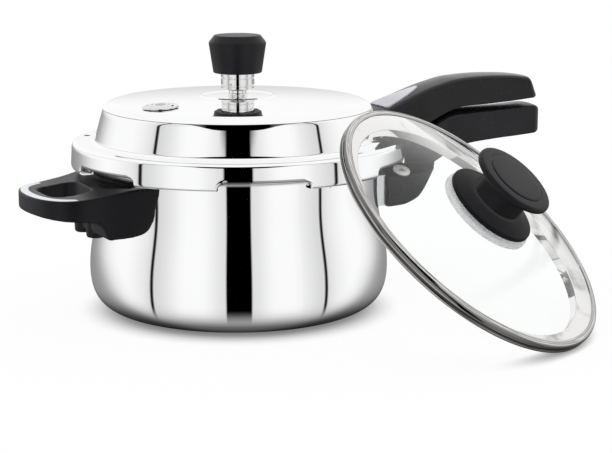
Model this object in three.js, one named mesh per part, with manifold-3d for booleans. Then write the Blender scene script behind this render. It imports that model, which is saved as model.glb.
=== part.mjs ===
import * as THREE from 'three';
import { mergeVertices } from 'three/addons/utils/BufferGeometryUtils.js';
import Module from 'manifold-3d';

const wasm = await Module();
wasm.setup();

// Pressure cooker with an outside locking lid, and its spare glass lid leaning on it.
// Millimetres. Origin: centre of the pot's base. +Z up, +X along the two long handles.

// General
const FIT_GAP = 0.3;
const SHEET = 2;
const CUT_OVER = 2;
const SCREW_CLEAR = 10;
const DEG = Math.PI / 180;
const ROUND_STEPS = 36;
const KNOB_STEPS = 24;
const SMALL_STEPS = 16;
const SCREW_STEPS = 10;
const NUT_SIDES = 6;

// Pot
const NECK_RADIUS = 95;
const NECK_HEIGHT = 84;
const NECK_PULL = 22;
const BELLY_SWELL = 7;
const BELLY_RADIUS = NECK_RADIUS + BELLY_SWELL;
const BELLY_HEIGHT = 31;
const BELLY_LOWER_PULL = 20;
const BELLY_UPPER_PULL = 20;
const BASE_INSET = 34;
const BASE_FLAT_RADIUS = BELLY_RADIUS - BASE_INSET;
const BASE_CORNER_PULL = 27;
const RIM_RISE = 20.5;
const RIM_TOP = NECK_HEIGHT + RIM_RISE;
const RIM_BOTTOM = RIM_TOP - SHEET;
const RIM_FILLET = 5;
const RIM_LUG_REACH = 14.2;
const RIM_LUG_RADIUS = NECK_RADIUS + RIM_LUG_REACH;
const RIM_GAP_REACH = 7.4;
const RIM_GAP_RADIUS = NECK_RADIUS + RIM_GAP_REACH;

// Bayonet lock
const LUG_COUNT = 6;
const LUG_PITCH = 360 / LUG_COUNT;
const LID_NOTCH_ANGLE = 31;
const RIM_LUG_ANGLE = 29.5;
const FIRST_NOTCH_ANGLE = -106.2;
const NOTCH_CORNER = 2.5;
const NOTCH_RISE = 1;
const NOTCH_TOP = RIM_TOP + NOTCH_RISE;
const LOCK_SIDE_GAP = 1.2;
const LOCK_HEIGHT_GAP = 1.5;

// Lid
const LEDGE_RISE = 11.9;
const LEDGE_HEIGHT = RIM_TOP + LEDGE_RISE;
const LEDGE_REACH = 2.4;
const LEDGE_INNER_RADIUS = NECK_RADIUS + LEDGE_REACH;
const LEDGE_FILLET = 3;
const DOME_RISE = 25.4;
const DOME_EDGE_HEIGHT = LEDGE_HEIGHT + DOME_RISE;
const DOME_LEAN = 7.1;
const DOME_EDGE_RADIUS = LEDGE_INNER_RADIUS - DOME_LEAN;
const DOME_EDGE_FILLET = 7.5;
const CROWN_RISE = 4.5;
const LID_TOP = DOME_EDGE_HEIGHT + CROWN_RISE;
const CROWN_EDGE = 10.3;
const CROWN_RADIUS = DOME_EDGE_RADIUS - CROWN_EDGE;
const CROWN_DROP = 3.6;
const CROWN_RINGS = 3;
const EMBOSS_RADIUS = 24.3;
const EMBOSS_HALF_WIDTH = 2.2;
const EMBOSS_HEIGHT = 0.9;
const SKIRT_TOP_RADIUS = RIM_LUG_RADIUS + LOCK_SIDE_GAP + SHEET;
const SKIRT_FLARE = 1;
const SKIRT_BOTTOM_RADIUS = SKIRT_TOP_RADIUS + SKIRT_FLARE;
const SKIRT_BOTTOM = RIM_BOTTOM - LOCK_HEIGHT_GAP - SHEET;
const SKIRT_CORNER = 3.4;
const LUG_TIP_RADIUS = RIM_GAP_RADIUS + LOCK_SIDE_GAP;
const SEAL_WINDOW_RADIUS = 2.3;
const SEAL_WINDOW_INSET = 8.1;
const SEAL_WINDOW_REACH = LEDGE_INNER_RADIUS + SEAL_WINDOW_INSET;
const SEAL_WINDOW_ANGLE = 145.4;

// Sealing ring
const SEAL_SIDE_GAP = 1.6;
const SEAL_OUTER_RADIUS = SKIRT_TOP_RADIUS - SHEET - SEAL_SIDE_GAP;
const SEAL_WIDTH = 10;
const SEAL_INNER_RADIUS = SEAL_OUTER_RADIUS - SEAL_WIDTH;
const SEAL_WEB = 3.2;
const SEAL_LIP = 2.3;

// Vent pipe in the middle of the lid
const VENT_COLLAR_RADIUS = 6.4;
const VENT_COLLAR_HEIGHT = 2.4;
const VENT_STEM_RADIUS = 5.6;
const VENT_STEM_RISE = 3.5;
const VENT_STEM_TOP = LID_TOP + VENT_STEM_RISE;
const VENT_TIP_RADIUS = 3.8;
const VENT_TIP_LENGTH = 10.2;
const VENT_TIP_TOP = VENT_STEM_TOP + VENT_TIP_LENGTH;
const VENT_TIP_CHAMFER = 1;
const VENT_THREAD_RADIUS = 4;
const VENT_THREAD_LENGTH = 12.3;
const VENT_THREAD_BOTTOM = LID_TOP - VENT_THREAD_LENGTH;
const VENT_BORE_RADIUS = 1.4;
const VENT_NUT_RADIUS = 8;
const VENT_NUT_HEIGHT = 5;
const WASHER_THICKNESS = 1.6;
const VENT_WASHER_RADIUS = 9;

// Safety plug on the crown
const PLUG_INSET = 11;
const PLUG_REACH = CROWN_RADIUS - PLUG_INSET;
const PLUG_ANGLE = 198.4;
const PLUG_FLANGE_RADIUS = 11.6;
const PLUG_FLANGE_HEIGHT = 1.8;
const PLUG_CROWN_RADIUS = 8.2;
const PLUG_CROWN_HEIGHT = 2.6;
const PLUG_CROWN_CHAMFER = 1;
const PLUG_CORE_RADIUS = 3.2;
const PLUG_CORE_PROUD = 0.5;
const PLUG_SHANK_RADIUS = 6;
const PLUG_SHANK_LENGTH = 11;
const PLUG_NUT_RADIUS = 10;
const PLUG_NUT_HEIGHT = 4.5;
const PLUG_WASHER_RADIUS = 10.5;

// Pressure weight
const WEIGHT_BOTTOM = VENT_STEM_TOP + 2 * FIT_GAP;
const WEIGHT_RADIUS = 11.3;
const WEIGHT_HEIGHT = 12;
const WEIGHT_TOP = WEIGHT_BOTTOM + WEIGHT_HEIGHT;
const WEIGHT_BAND = 1.5;
const WEIGHT_GROOVE_WIDTH = 1;
const WEIGHT_GROOVE_DEPTH = 0.7;
const WEIGHT_MIDDLE_RISE = 6.2;
const WEIGHT_MIDDLE_GROOVE = WEIGHT_BOTTOM + WEIGHT_MIDDLE_RISE;
const WEIGHT_SOCKET_GAP = 0.8;
const WEIGHT_SOCKET_TOP = VENT_TIP_TOP + WEIGHT_SOCKET_GAP;
const WEIGHT_STEM_RADIUS = 6;
const WEIGHT_STEM_LENGTH = 15.6;
const WEIGHT_STEM_TOP = WEIGHT_TOP + WEIGHT_STEM_LENGTH;
const CAP_BOTTOM_RADIUS = 15.9;
const CAP_WIDE_RADIUS = 19.5;
const CAP_COVER = 4;
const CAP_WIDE_HEIGHT = WEIGHT_STEM_TOP + CAP_COVER;
const CAP_TOP_RADIUS = 15.2;
const CAP_SHOULDER = 5;
const CAP_TOP = CAP_WIDE_HEIGHT + CAP_SHOULDER;
const CAP_EDGE = 1.2;

// Long handles: rows are reach from the neck, half width, and underside and top above the lid's ledge
const LID_HANDLE_ROWS = [
  [-9, 18, 1.8, 9.6], [11, 17.6, 1.8, 15.1], [28, 16.5, 1.8, 21.6], [45, 15.2, 2.1, 27.6],
  [58, 15, 7.8, 31.2], [73, 14.8, 13, 34.2], [96, 14.6, 13.9, 35.2], [119, 14.4, 15, 34.3],
  [135, 14.2, 16.1, 32.6],
];
const BODY_HANDLE_ROWS = [
  [11, 23, -52.7, 0.6], [19, 23, -52.4, 0.6], [27, 22.6, -51.4, 0.6], [36.5, 21.6, -47.4, 0.6],
  [43, 20.4, -40.2, 0.6], [50, 18.8, -30, 0.8], [57, 17.2, -24.2, 3.8], [67, 15.8, -18.3, 6.9],
  [79.5, 15.2, -13.9, 7.6], [103, 14.8, -11.8, 8.6], [123, 14.6, -10.8, 9.8], [137, 14.2, -10, 10.6],
];
const LID_HANDLE_LENGTH = 141;
const LID_HANDLE_END = NECK_RADIUS + LID_HANDLE_LENGTH;
const BODY_HANDLE_LENGTH = 143;
const BODY_HANDLE_END = NECK_RADIUS + BODY_HANDLE_LENGTH;
const HANDLE_END_STEP = 2.4;
const HANDLE_END_INSET = 2;
const HANDLE_TIP_INSET = 6;
const LID_HANDLE_ROUND = 3;
const BODY_HANDLE_ROUND = 2;
const HANDLE_LOFT_STEPS = 16;
const HANDLE_SWING_GAP = 1.6;

// Waist and shoulder screws of the body handle
const WAIST_DROP = 24.8;
const WAIST_HEIGHT = LEDGE_HEIGHT - WAIST_DROP;
const WAIST_DEPTH = 10.5;
const WAIST_OUTER = 28;
const WAIST_OUTER_DROP = 9.6;
const WAIST_OUTER_HEIGHT = WAIST_HEIGHT - WAIST_OUTER_DROP;
const WAIST_TOP_WIDTH = 15.4;
const WAIST_RISE = 12.4;
const WAIST_TOP = WAIST_HEIGHT + WAIST_RISE;
const SHOULDER_SCREW_REACH = 24.5;
const SHOULDER_SCREW_X = NECK_RADIUS + SHOULDER_SCREW_REACH;
const SHOULDER_SCREW_Y = 16.6;
const SHOULDER_HEAD_RADIUS = 6.2;
const SHOULDER_HEAD_HEIGHT = 2.4;
const SHOULDER_SEAT_DEPTH = 1.4;
const SHOULDER_SHANK_RADIUS = 2;
const SHOULDER_SHANK_LENGTH = 14;

// Brackets
const BODY_TONGUE_HALF_WIDTH = 12;
const BODY_TONGUE_DROP = 13.6;
const BODY_TONGUE_TOP = WAIST_HEIGHT - BODY_TONGUE_DROP;
const BODY_TONGUE_THICKNESS = 7;
const BODY_TONGUE_BOTTOM = BODY_TONGUE_TOP - BODY_TONGUE_THICKNESS;
const BODY_TONGUE_LENGTH = 32;
const BODY_TONGUE_END = NECK_RADIUS + BODY_TONGUE_LENGTH;
const BODY_BRACKET_HALF_WIDTH = 19;
const BODY_BRACKET_OVER = 8;
const BODY_BRACKET_TOP = BODY_TONGUE_TOP + BODY_BRACKET_OVER;
const BODY_BRACKET_UNDER = 6.5;
const BODY_BRACKET_BOTTOM = BODY_TONGUE_BOTTOM - BODY_BRACKET_UNDER;
const LID_STRAP_HALF_WIDTH = 10;
const LID_STRAP_RISE = 5.6;
const LID_STRAP_BOTTOM = LEDGE_HEIGHT + LID_STRAP_RISE;
const LID_STRAP_THICKNESS = 3;
const LID_STRAP_TOP = LID_STRAP_BOTTOM + LID_STRAP_THICKNESS;
const LID_STRAP_LENGTH = 52;
const LID_STRAP_END = NECK_RADIUS + LID_STRAP_LENGTH;
const LID_SCREW_REACH = 37;
const LID_SCREW_X = NECK_RADIUS + LID_SCREW_REACH;
const LID_SCREW_RISE = 2.6;
const LID_SCREW_HEAD_BOTTOM = LEDGE_HEIGHT + LID_SCREW_RISE;

// Helper handle: grip rows are reach from the neck and half width
const GRIP_ROWS = [[17, 43], [33, 41], [43, 35.6], [49.6, 27], [53.4, 14.5], [54.6, 0]];
const GRIP_STEPS = 18;
const HELPER_BASE_OVERLAP = 2;
const HELPER_BASE_BACK = NECK_RADIUS - HELPER_BASE_OVERLAP;
const HELPER_BASE_REACH = 17;
const HELPER_BASE_FRONT = NECK_RADIUS + HELPER_BASE_REACH;
const HELPER_BASE_HALF_WIDTH = 49.6;
const HELPER_BASE_FRONT_HALF_WIDTH = 43;
const HELPER_BASE_CORNER = 6;
const HELPER_BASE_LOWER_CORNER = 11;
const HELPER_BASE_DROP = 11.3;
const HELPER_BASE_TOP = RIM_TOP - HELPER_BASE_DROP;
const HELPER_BASE_HEIGHT = 30.2;
const HELPER_HEEL_INSET = 13;
const HELPER_HEEL = NECK_RADIUS - HELPER_HEEL_INSET;
const HELPER_HEEL_CORNER = 12;
const HELPER_BASE_BOTTOM = HELPER_BASE_TOP - HELPER_BASE_HEIGHT;
const HELPER_BAR_DROP = 3;
const HELPER_BAR_TOP = HELPER_BASE_TOP - HELPER_BAR_DROP;
const HELPER_BAR_HEIGHT = 14.2;
const HELPER_BAR_BOTTOM = HELPER_BAR_TOP - HELPER_BAR_HEIGHT;
const HELPER_EDGE_ROUND = 2.5;
const LOOP_BACK_REACH = 16;
const LOOP_BACK = NECK_RADIUS + LOOP_BACK_REACH;
const LOOP_LENGTH = 29;
const LOOP_FRONT = LOOP_BACK + LOOP_LENGTH;
const LOOP_HALF_WIDTH = 21;
const LOOP_CORNER = 12;
const BOSS_REACH = 13;
const BOSS_X = NECK_RADIUS + BOSS_REACH;
const BOSS_RADIUS = 6.6;
const BOSS_HALF_SPAN = 11;
const BOSS_DROP = 3;
const BOSS_BOTTOM = HELPER_BASE_BOTTOM - BOSS_DROP;
const HELPER_INLAY_WIDTH = 5.2;
const HELPER_INLAY_MARGIN = 1.3;
const HELPER_INLAY_REACH = 32;
const HELPER_INLAY_START = NECK_RADIUS + HELPER_INLAY_REACH;
const INLAY_THICKNESS = 1.2;
const INLAY_PROUD = 0.3;
const HELPER_FOOT_THICKNESS = 4;
const HELPER_FOOT_RADIUS = NECK_RADIUS + HELPER_FOOT_THICKNESS;
const HELPER_FOOT_HALF_WIDTH = 32;
const HELPER_FOOT_RISE = 4;
const HELPER_FOOT_BOTTOM = HELPER_BASE_BOTTOM + HELPER_FOOT_RISE;
const HELPER_FOOT_HEIGHT = 20;
const HELPER_FOOT_TOP = HELPER_FOOT_BOTTOM + HELPER_FOOT_HEIGHT;
const HELPER_TONGUE_RISE = 4;
const HELPER_TONGUE_BOTTOM = HELPER_FOOT_BOTTOM + HELPER_TONGUE_RISE;
const HELPER_TONGUE_THICKNESS = 3;
const HELPER_TONGUE_TOP = HELPER_TONGUE_BOTTOM + HELPER_TONGUE_THICKNESS;
const HELPER_TONGUE_HALF_WIDTH = 7;
const HELPER_TONGUE_LENGTH = 14;
const HELPER_TONGUE_END = NECK_RADIUS + HELPER_TONGUE_LENGTH;
const HELPER_SCREW_REACH = 8.5;
const HELPER_SCREW_X = NECK_RADIUS + HELPER_SCREW_REACH;
const FIXING_HEAD_RADIUS = 4.2;
const FIXING_HEAD_HEIGHT = 2.6;
const FIXING_SHANK_RADIUS = 2;
const FIXING_SHANK_LENGTH = 12;

// Screw heads, as parts of the head's radius or height
const HEAD_TOP_PART = 0.8;
const HEAD_CHAMFER_PART = 0.35;
const SLOT_LENGTH_PART = 0.5;
const SLOT_WIDTH_PART = 0.13;
const SLOT_DEPTH_PART = 0.5;

// Leaf inlay on the lid handle
const LEAF_REACH = 14;
const LEAF_START = NECK_RADIUS + LEAF_REACH;
const LEAF_LENGTH = 33;
const LEAF_HALF_WIDTH = 12.4;
const LEAF_ROOT_HALF_WIDTH = 9.6;
const LEAF_TIP_HALF_WIDTH = 1.8;
const LEAF_WIDEST = 5;
const LEAF_ROOT_PULL = 0.6;
const LEAF_TIP_PULL = 21;
const LEAF_TIP_PULL_WIDTH = 9.4;

// Glass lid, in its own upright frame: z = 0 is the lowest edge of the outer rim
const GLASS_LID_OVERHANG = 7.3;
const GLASS_LID_RADIUS = NECK_RADIUS + GLASS_LID_OVERHANG;
const GLASS_LID_BEARING = -54.42;
const GLASS_LID_AZIMUTH = -56.1;
const GLASS_LID_TILT = 41.5;
const LEAN_GAP = 0.65;
const RIM_BAND_HEIGHT = 5.6;
const RIM_BAND_WIDTH = 1.9;
const RIM_METAL = 0.8;
const RIM_MOUTH_GAP = 5;
const RIM_STEP_RADIUS = NECK_RADIUS - SHEET - RIM_MOUTH_GAP;
const RIM_STEP_DEPTH = 5;
const GLASS_EDGE_RADIUS = GLASS_LID_RADIUS - RIM_BAND_WIDTH;
const RIM_LIP_WIDTH = 5.9;
const RIM_LIP_RADIUS = GLASS_EDGE_RADIUS - RIM_LIP_WIDTH;
const GLASS_THICKNESS = 4;
const GLASS_RISE = 20;
const GLASS_RINGS = 5;
const GLASS_HOLE_RADIUS = 3.4;

// Knob of the glass lid
const KNOB_FLANGE_RADIUS = 31;
const KNOB_FLANGE_EDGE = 2.6;
const KNOB_FLANGE_THICKNESS = 6;
const KNOB_NECK_RADIUS = 17.5;
const KNOB_HEIGHT = 26.4;
const KNOB_TOP_RADIUS = 27.8;
const KNOB_TOP_EDGE = 4;
const KNOB_TOP_UNDERCUT = 3;
const KNOB_EDGE_ROUND = 1.5;
const KNOB_CROWN_ROUND = 2;
const KNOB_CROWN_DROP = 0.4;
const KNOB_NECK_FLARE = 1.5;
const KNOB_NECK_FLARE_HEIGHT = 3;
const KNOB_FLANGE_COLLAR = 2;
const KNOB_DISC_RADIUS = 20;
const KNOB_DISC_RECESS = 3;
const KNOB_DISC_PROUD = 0.7;
const KNOB_DISC_CHAMFER = 1;
const KNOB_WASHER_RADIUS = 26;
const KNOB_SCREW_HEAD_RADIUS = 6.3;
const KNOB_SCREW_LENGTH = 18;

// Finishes
function finish(color, metalness, roughness) {
  return new THREE.MeshStandardMaterial({ color, metalness, roughness });
}


const steel = finish(0xd6d8da, 1, 0.12);
const bakelite = finish(0x1c1c1e, 0, 0.45);
const silver = finish(0xdcdce2, 0.4, 0.35);
const rubber = finish(0x3a3a3c, 0, 0.8);
const brass = finish(0xb08d4a, 1, 0.35);
const silicone = finish(0xe6e8ea, 0, 0.5);
const glass = finish(0xdfe9ea, 0, 0.05);
glass.transparent = true;
glass.opacity = 0.35;

const point = (x, y) => new THREE.Vector2(x, y);

// Turns a closed geometry into a solid, with its faces pointing outward.
function solidOf(geometry) {
  const bare = geometry.clone();
  bare.deleteAttribute('normal');
  bare.deleteAttribute('uv');
  const merged = mergeVertices(bare, 1e-4);
  const vertices = merged.getAttribute('position').array;
  const index = merged.getIndex().array;
  const triangles = [];
  let volume = 0;
  for (let i = 0; i < index.length; i += 3) {
    const corners = [index[i], index[i + 1], index[i + 2]];
    if (new Set(corners).size === 3) {
      const [a, b, c] = corners.map((k) => new THREE.Vector3().fromArray(vertices, 3 * k));
      volume += a.dot(b.cross(c));
      triangles.push(...corners);
    }
  }
  if (volume < 0) {
    triangles.reverse();
  }
  const vertProperties = new Float32Array(vertices);
  const triVerts = new Uint32Array(triangles);
  return new wasm.Manifold(new wasm.Mesh({ numProp: 3, vertProperties, triVerts }));
}

function meshOf(name, solid, material) {
  const { vertProperties, triVerts } = solid.getMesh();
  const geometry = new THREE.BufferGeometry();
  geometry.setAttribute('position', new THREE.BufferAttribute(new Float32Array(vertProperties), 3));
  geometry.setIndex([...triVerts]);
  geometry.computeVertexNormals();
  const mesh = new THREE.Mesh(geometry, material);
  mesh.name = name;
  return mesh;
}

// A profile of radius and height, turned round the Z axis.
function turned(profile, steps = ROUND_STEPS) {
  return solidOf(new THREE.LatheGeometry(profile, steps).rotateX(Math.PI / 2));
}

function tube(innerRadius, outerRadius, bottom, top, steps = ROUND_STEPS) {
  const inner = [point(innerRadius, bottom), point(outerRadius, bottom)];
  const outer = [point(outerRadius, top), point(innerRadius, top)];
  const ends = innerRadius > 0 ? [point(innerRadius, bottom)] : [];
  return turned([...inner, ...outer, ...ends], steps);
}

// A flat outline raised from one height to another, its edges rounded by the given amount.
function raised(shape, bottom, top, edge = 0) {
  const settings = {
    depth: top - bottom - 2 * edge,
    bevelEnabled: edge > 0,
    bevelThickness: edge,
    bevelSize: edge,
    bevelOffset: -edge,
    bevelSegments: 2,
    curveSegments: 4,
  };
  return solidOf(new THREE.ExtrudeGeometry(shape, settings).translate(0, 0, bottom + edge));
}

function block(x0, x1, halfWidth, bottom, top) {
  const outline = [point(x0, -halfWidth), point(x1, -halfWidth), point(x1, halfWidth), point(x0, halfWidth)];
  return raised(new THREE.Shape(outline), bottom, top);
}

function roundedOutline(x0, x1, y0, y1, corner) {
  const outline = new THREE.Shape();
  outline.moveTo(x0 + corner, y0);
  outline.lineTo(x1 - corner, y0);
  outline.quadraticCurveTo(x1, y0, x1, y0 + corner);
  outline.lineTo(x1, y1 - corner);
  outline.quadraticCurveTo(x1, y1, x1 - corner, y1);
  outline.lineTo(x0 + corner, y1);
  outline.quadraticCurveTo(x0, y1, x0, y1 - corner);
  outline.lineTo(x0, y0 + corner);
  outline.quadraticCurveTo(x0, y0, x0 + corner, y0);
  return outline;
}

// Stands an outline of y and z up, so that it is raised along X.
const alongX = new THREE.Matrix4().makeBasis(
  new THREE.Vector3(0, 1, 0), new THREE.Vector3(0, 0, 1), new THREE.Vector3(1, 0, 0),
);

// Stands an outline of x and z up, so that it is raised along Y.
const alongY = new THREE.Matrix4().makeBasis(
  new THREE.Vector3(1, 0, 0), new THREE.Vector3(0, 0, 1), new THREE.Vector3(0, -1, 0),
);

// Moves a profile sideways by a distance; positive is to the left of its direction.
// A point on the axis stays on it.
function offsetProfile(profile, distance) {
  return profile.map((here, i) => {
    if (here.x === 0) {
      return point(0, here.y + distance);
    }
    const before = profile[Math.max(i - 1, 0)];
    const after = profile[Math.min(i + 1, profile.length - 1)];
    const into = i > 0 ? here.clone().sub(before).normalize() : after.clone().sub(here).normalize();
    const out = i < profile.length - 1 ? after.clone().sub(here).normalize() : into.clone();
    const left = point(-into.y - out.y, into.x + out.x).normalize();
    const stretch = Math.max(left.dot(point(-into.y, into.x)), 0.5);
    return here.clone().addScaledVector(left, distance / stretch);
  });
}

// A sheet of even thickness, from the profile of one of its faces.
function sheetProfile(profile, thickness) {
  return [...profile, ...offsetProfile(profile, thickness).reverse()];
}

function placed(solid, matrix) {
  return solid.transform(matrix.elements);
}

function turnedAbout(solid, degrees) {
  return placed(solid, new THREE.Matrix4().makeRotationZ(degrees * DEG));
}

// A solid through a row of rounded rectangles that stand across the X axis.
function lofted(rows, round) {
  const rings = rows.map(([x, halfWidth, bottom, top]) => {
    const ring = [];
    const corners = [[1, -1, -90], [1, 1, 0], [-1, 1, 90], [-1, -1, 180]];
    for (const [sideY, sideZ, start] of corners) {
      const centreY = sideY * (halfWidth - round);
      const centreZ = sideZ > 0 ? top - round : bottom + round;
      for (const turn of [0, 45, 90]) {
        const angle = (start + turn) * DEG;
        ring.push(new THREE.Vector3(x, centreY + round * Math.cos(angle), centreZ + round * Math.sin(angle)));
      }
    }
    return ring;
  });
  const count = rings[0].length;
  const vertices = rings.flat().flatMap((vertex) => vertex.toArray());
  const index = [];
  for (let row = 0; row + 1 < rings.length; row += 1) {
    for (let i = 0; i < count; i += 1) {
      const a = row * count + i;
      const b = row * count + (i + 1) % count;
      index.push(a, b, a + count, b, b + count, a + count);
    }
  }
  const last = (rings.length - 1) * count;
  for (let i = 1; i + 1 < count; i += 1) {
    index.push(0, i + 1, i, last, last + i, last + i + 1);
  }
  const geometry = new THREE.BufferGeometry();
  geometry.setAttribute('position', new THREE.Float32BufferAttribute(vertices, 3));
  geometry.setIndex(index);
  return solidOf(geometry);
}

const handlePlaced = ([reach, halfWidth, underside, top]) => [
  NECK_RADIUS + reach, halfWidth, LEDGE_HEIGHT + underside, LEDGE_HEIGHT + top,
];
const lidHandleRows = LID_HANDLE_ROWS.map(handlePlaced);
const bodyHandleRows = BODY_HANDLE_ROWS.map(handlePlaced);

// Smooth rows between the given ones, closed by a rounded end.
function handleRows(rows, end) {
  const curve = (k) => new THREE.SplineCurve(rows.map((row) => point(row[0], row[k])));
  const column = (k) => curve(k).getPoints(HANDLE_LOFT_STEPS);
  const [widths, undersides, tops] = [column(1), column(2), column(3)];
  const smooth = widths.map((at, i) => [at.x, at.y, undersides[i].y, tops[i].y]);
  const [, halfWidth, underside, top] = smooth[smooth.length - 1];
  const shrunk = (x, inset) => [x, halfWidth - inset, underside + inset / 2, top - inset];
  const shoulder = shrunk(end - HANDLE_END_STEP, HANDLE_END_INSET);
  return [...smooth, shoulder, shrunk(end, HANDLE_TIP_INSET)];
}

// A screw standing on its tip: the top of its head is at z = 0 and its shank points down.
function screw(headRadius, headHeight, shankRadius, shankLength) {
  const profile = [
    point(0, -headHeight - shankLength), point(shankRadius, -headHeight - shankLength),
    point(shankRadius, -headHeight), point(headRadius, -headHeight),
    point(headRadius, -headHeight * HEAD_CHAMFER_PART), point(headRadius * HEAD_TOP_PART, 0), point(0, 0),
  ];
  const slot = headRadius * SLOT_LENGTH_PART;
  const bar = block(-slot, slot, headRadius * SLOT_WIDTH_PART, -headHeight * SLOT_DEPTH_PART, headHeight);
  const cross = bar.add(turnedAbout(bar, 90));
  return turned(profile, SCREW_STEPS).subtract(cross);
}

function screwHole(headRadius, headHeight, shankRadius, shankLength) {
  const bottom = -headHeight - shankLength - FIT_GAP;
  const profile = [
    point(0, bottom), point(shankRadius + FIT_GAP, bottom),
    point(shankRadius + FIT_GAP, -headHeight - FIT_GAP), point(headRadius + FIT_GAP, -headHeight - FIT_GAP),
    point(headRadius + FIT_GAP, SCREW_CLEAR), point(0, SCREW_CLEAR),
  ];
  return turned(profile, SCREW_STEPS);
}

function nut(radius, holeRadius, bottom, top) {
  const hexagon = tube(0, radius, bottom, top, NUT_SIDES);
  return hexagon.subtract(tube(0, holeRadius, bottom - CUT_OVER, top + CUT_OVER, SMALL_STEPS));
}

// Pot shell

function potOutside() {
  const path = new THREE.Path();
  path.moveTo(0, 0);
  path.lineTo(BASE_FLAT_RADIUS, 0);
  path.bezierCurveTo(
    BASE_FLAT_RADIUS + BASE_CORNER_PULL, 0,
    BELLY_RADIUS, BELLY_HEIGHT - BELLY_LOWER_PULL,
    BELLY_RADIUS, BELLY_HEIGHT,
  );
  path.bezierCurveTo(
    BELLY_RADIUS, BELLY_HEIGHT + BELLY_UPPER_PULL,
    NECK_RADIUS, NECK_HEIGHT - NECK_PULL,
    NECK_RADIUS, NECK_HEIGHT,
  );
  path.lineTo(NECK_RADIUS, RIM_BOTTOM - RIM_FILLET);
  path.quadraticCurveTo(NECK_RADIUS, RIM_BOTTOM, NECK_RADIUS + RIM_FILLET, RIM_BOTTOM);
  path.lineTo(RIM_LUG_RADIUS, RIM_BOTTOM);
  return path.getPoints(4);
}

const potProfile = potOutside();

// Gaps between the rim's lugs, cut down to the round part of the rim.
function rimGaps() {
  const halfAngle = (LUG_PITCH - RIM_LUG_ANGLE) / 2 * DEG;
  const outline = new THREE.Shape();
  outline.absarc(0, 0, RIM_GAP_RADIUS, -halfAngle, halfAngle, false);
  outline.absarc(0, 0, RIM_LUG_RADIUS + CUT_OVER, halfAngle, -halfAngle, true);
  return raised(outline, RIM_BOTTOM - CUT_OVER, RIM_TOP + CUT_OVER);
}

const rimGap = rimGaps();
let pot = turned(sheetProfile(potProfile, SHEET));
for (let k = 0; k < LUG_COUNT; k += 1) {
  pot = pot.subtract(turnedAbout(rimGap, FIRST_NOTCH_ANGLE + k * LUG_PITCH));
}

// Everything inside the pot's outer face plus the fit gap, for cutting what sits against it.
const potWall = offsetProfile(potProfile, -FIT_GAP);
const potBody = turned([...potWall, point(0, potWall[potWall.length - 1].y)]);

// Lid shell

const crownHeight = (radius) => LID_TOP - CROWN_DROP * (radius / CROWN_RADIUS) ** 2;

function lidOutside() {
  const path = new THREE.Path();
  path.moveTo(0, LID_TOP);
  path.lineTo(EMBOSS_RADIUS - EMBOSS_HALF_WIDTH, crownHeight(EMBOSS_RADIUS - EMBOSS_HALF_WIDTH));
  path.lineTo(EMBOSS_RADIUS, crownHeight(EMBOSS_RADIUS) + EMBOSS_HEIGHT);
  path.lineTo(EMBOSS_RADIUS + EMBOSS_HALF_WIDTH, crownHeight(EMBOSS_RADIUS + EMBOSS_HALF_WIDTH));
  const crownStart = EMBOSS_RADIUS + EMBOSS_HALF_WIDTH;
  for (let k = 1; k <= CROWN_RINGS; k += 1) {
    const radius = crownStart + (CROWN_RADIUS - crownStart) * k / CROWN_RINGS;
    path.lineTo(radius, crownHeight(radius));
  }
  const wall = point(LEDGE_INNER_RADIUS - DOME_EDGE_RADIUS, LEDGE_HEIGHT - DOME_EDGE_HEIGHT).normalize();
  path.quadraticCurveTo(
    DOME_EDGE_RADIUS, DOME_EDGE_HEIGHT,
    DOME_EDGE_RADIUS + DOME_EDGE_FILLET * wall.x, DOME_EDGE_HEIGHT + DOME_EDGE_FILLET * wall.y,
  );
  path.lineTo(LEDGE_INNER_RADIUS - LEDGE_FILLET * wall.x, LEDGE_HEIGHT - LEDGE_FILLET * wall.y);
  path.quadraticCurveTo(LEDGE_INNER_RADIUS, LEDGE_HEIGHT, LEDGE_INNER_RADIUS + LEDGE_FILLET, LEDGE_HEIGHT);
  path.lineTo(SKIRT_TOP_RADIUS - SKIRT_CORNER, LEDGE_HEIGHT);
  path.quadraticCurveTo(SKIRT_TOP_RADIUS, LEDGE_HEIGHT, SKIRT_TOP_RADIUS, LEDGE_HEIGHT - SKIRT_CORNER);
  path.lineTo(SKIRT_BOTTOM_RADIUS, SKIRT_BOTTOM + SKIRT_CORNER);
  path.quadraticCurveTo(SKIRT_BOTTOM_RADIUS, SKIRT_BOTTOM, SKIRT_BOTTOM_RADIUS - SKIRT_CORNER, SKIRT_BOTTOM);
  path.lineTo(LUG_TIP_RADIUS, SKIRT_BOTTOM);
  return path.getPoints(2);
}

// A notch in the skirt between two lugs, its upper corners rounded.
function skirtNotch() {
  const half = SKIRT_BOTTOM_RADIUS * Math.sin(LID_NOTCH_ANGLE / 2 * DEG);
  const outline = new THREE.Shape();
  outline.moveTo(SKIRT_BOTTOM - CUT_OVER, -half);
  outline.lineTo(NOTCH_TOP - NOTCH_CORNER, -half);
  outline.quadraticCurveTo(NOTCH_TOP, -half, NOTCH_TOP, NOTCH_CORNER - half);
  outline.lineTo(NOTCH_TOP, half - NOTCH_CORNER);
  outline.quadraticCurveTo(NOTCH_TOP, half, NOTCH_TOP - NOTCH_CORNER, half);
  outline.lineTo(SKIRT_BOTTOM - CUT_OVER, half);
  const upright = new THREE.Matrix4().makeBasis(
    new THREE.Vector3(0, 0, 1), new THREE.Vector3(0, 1, 0), new THREE.Vector3(-1, 0, 0),
  );
  const inner = LUG_TIP_RADIUS * Math.cos(LUG_PITCH / 2 * DEG);
  return placed(raised(outline, -SKIRT_BOTTOM_RADIUS - CUT_OVER, -inner), upright);
}

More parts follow.
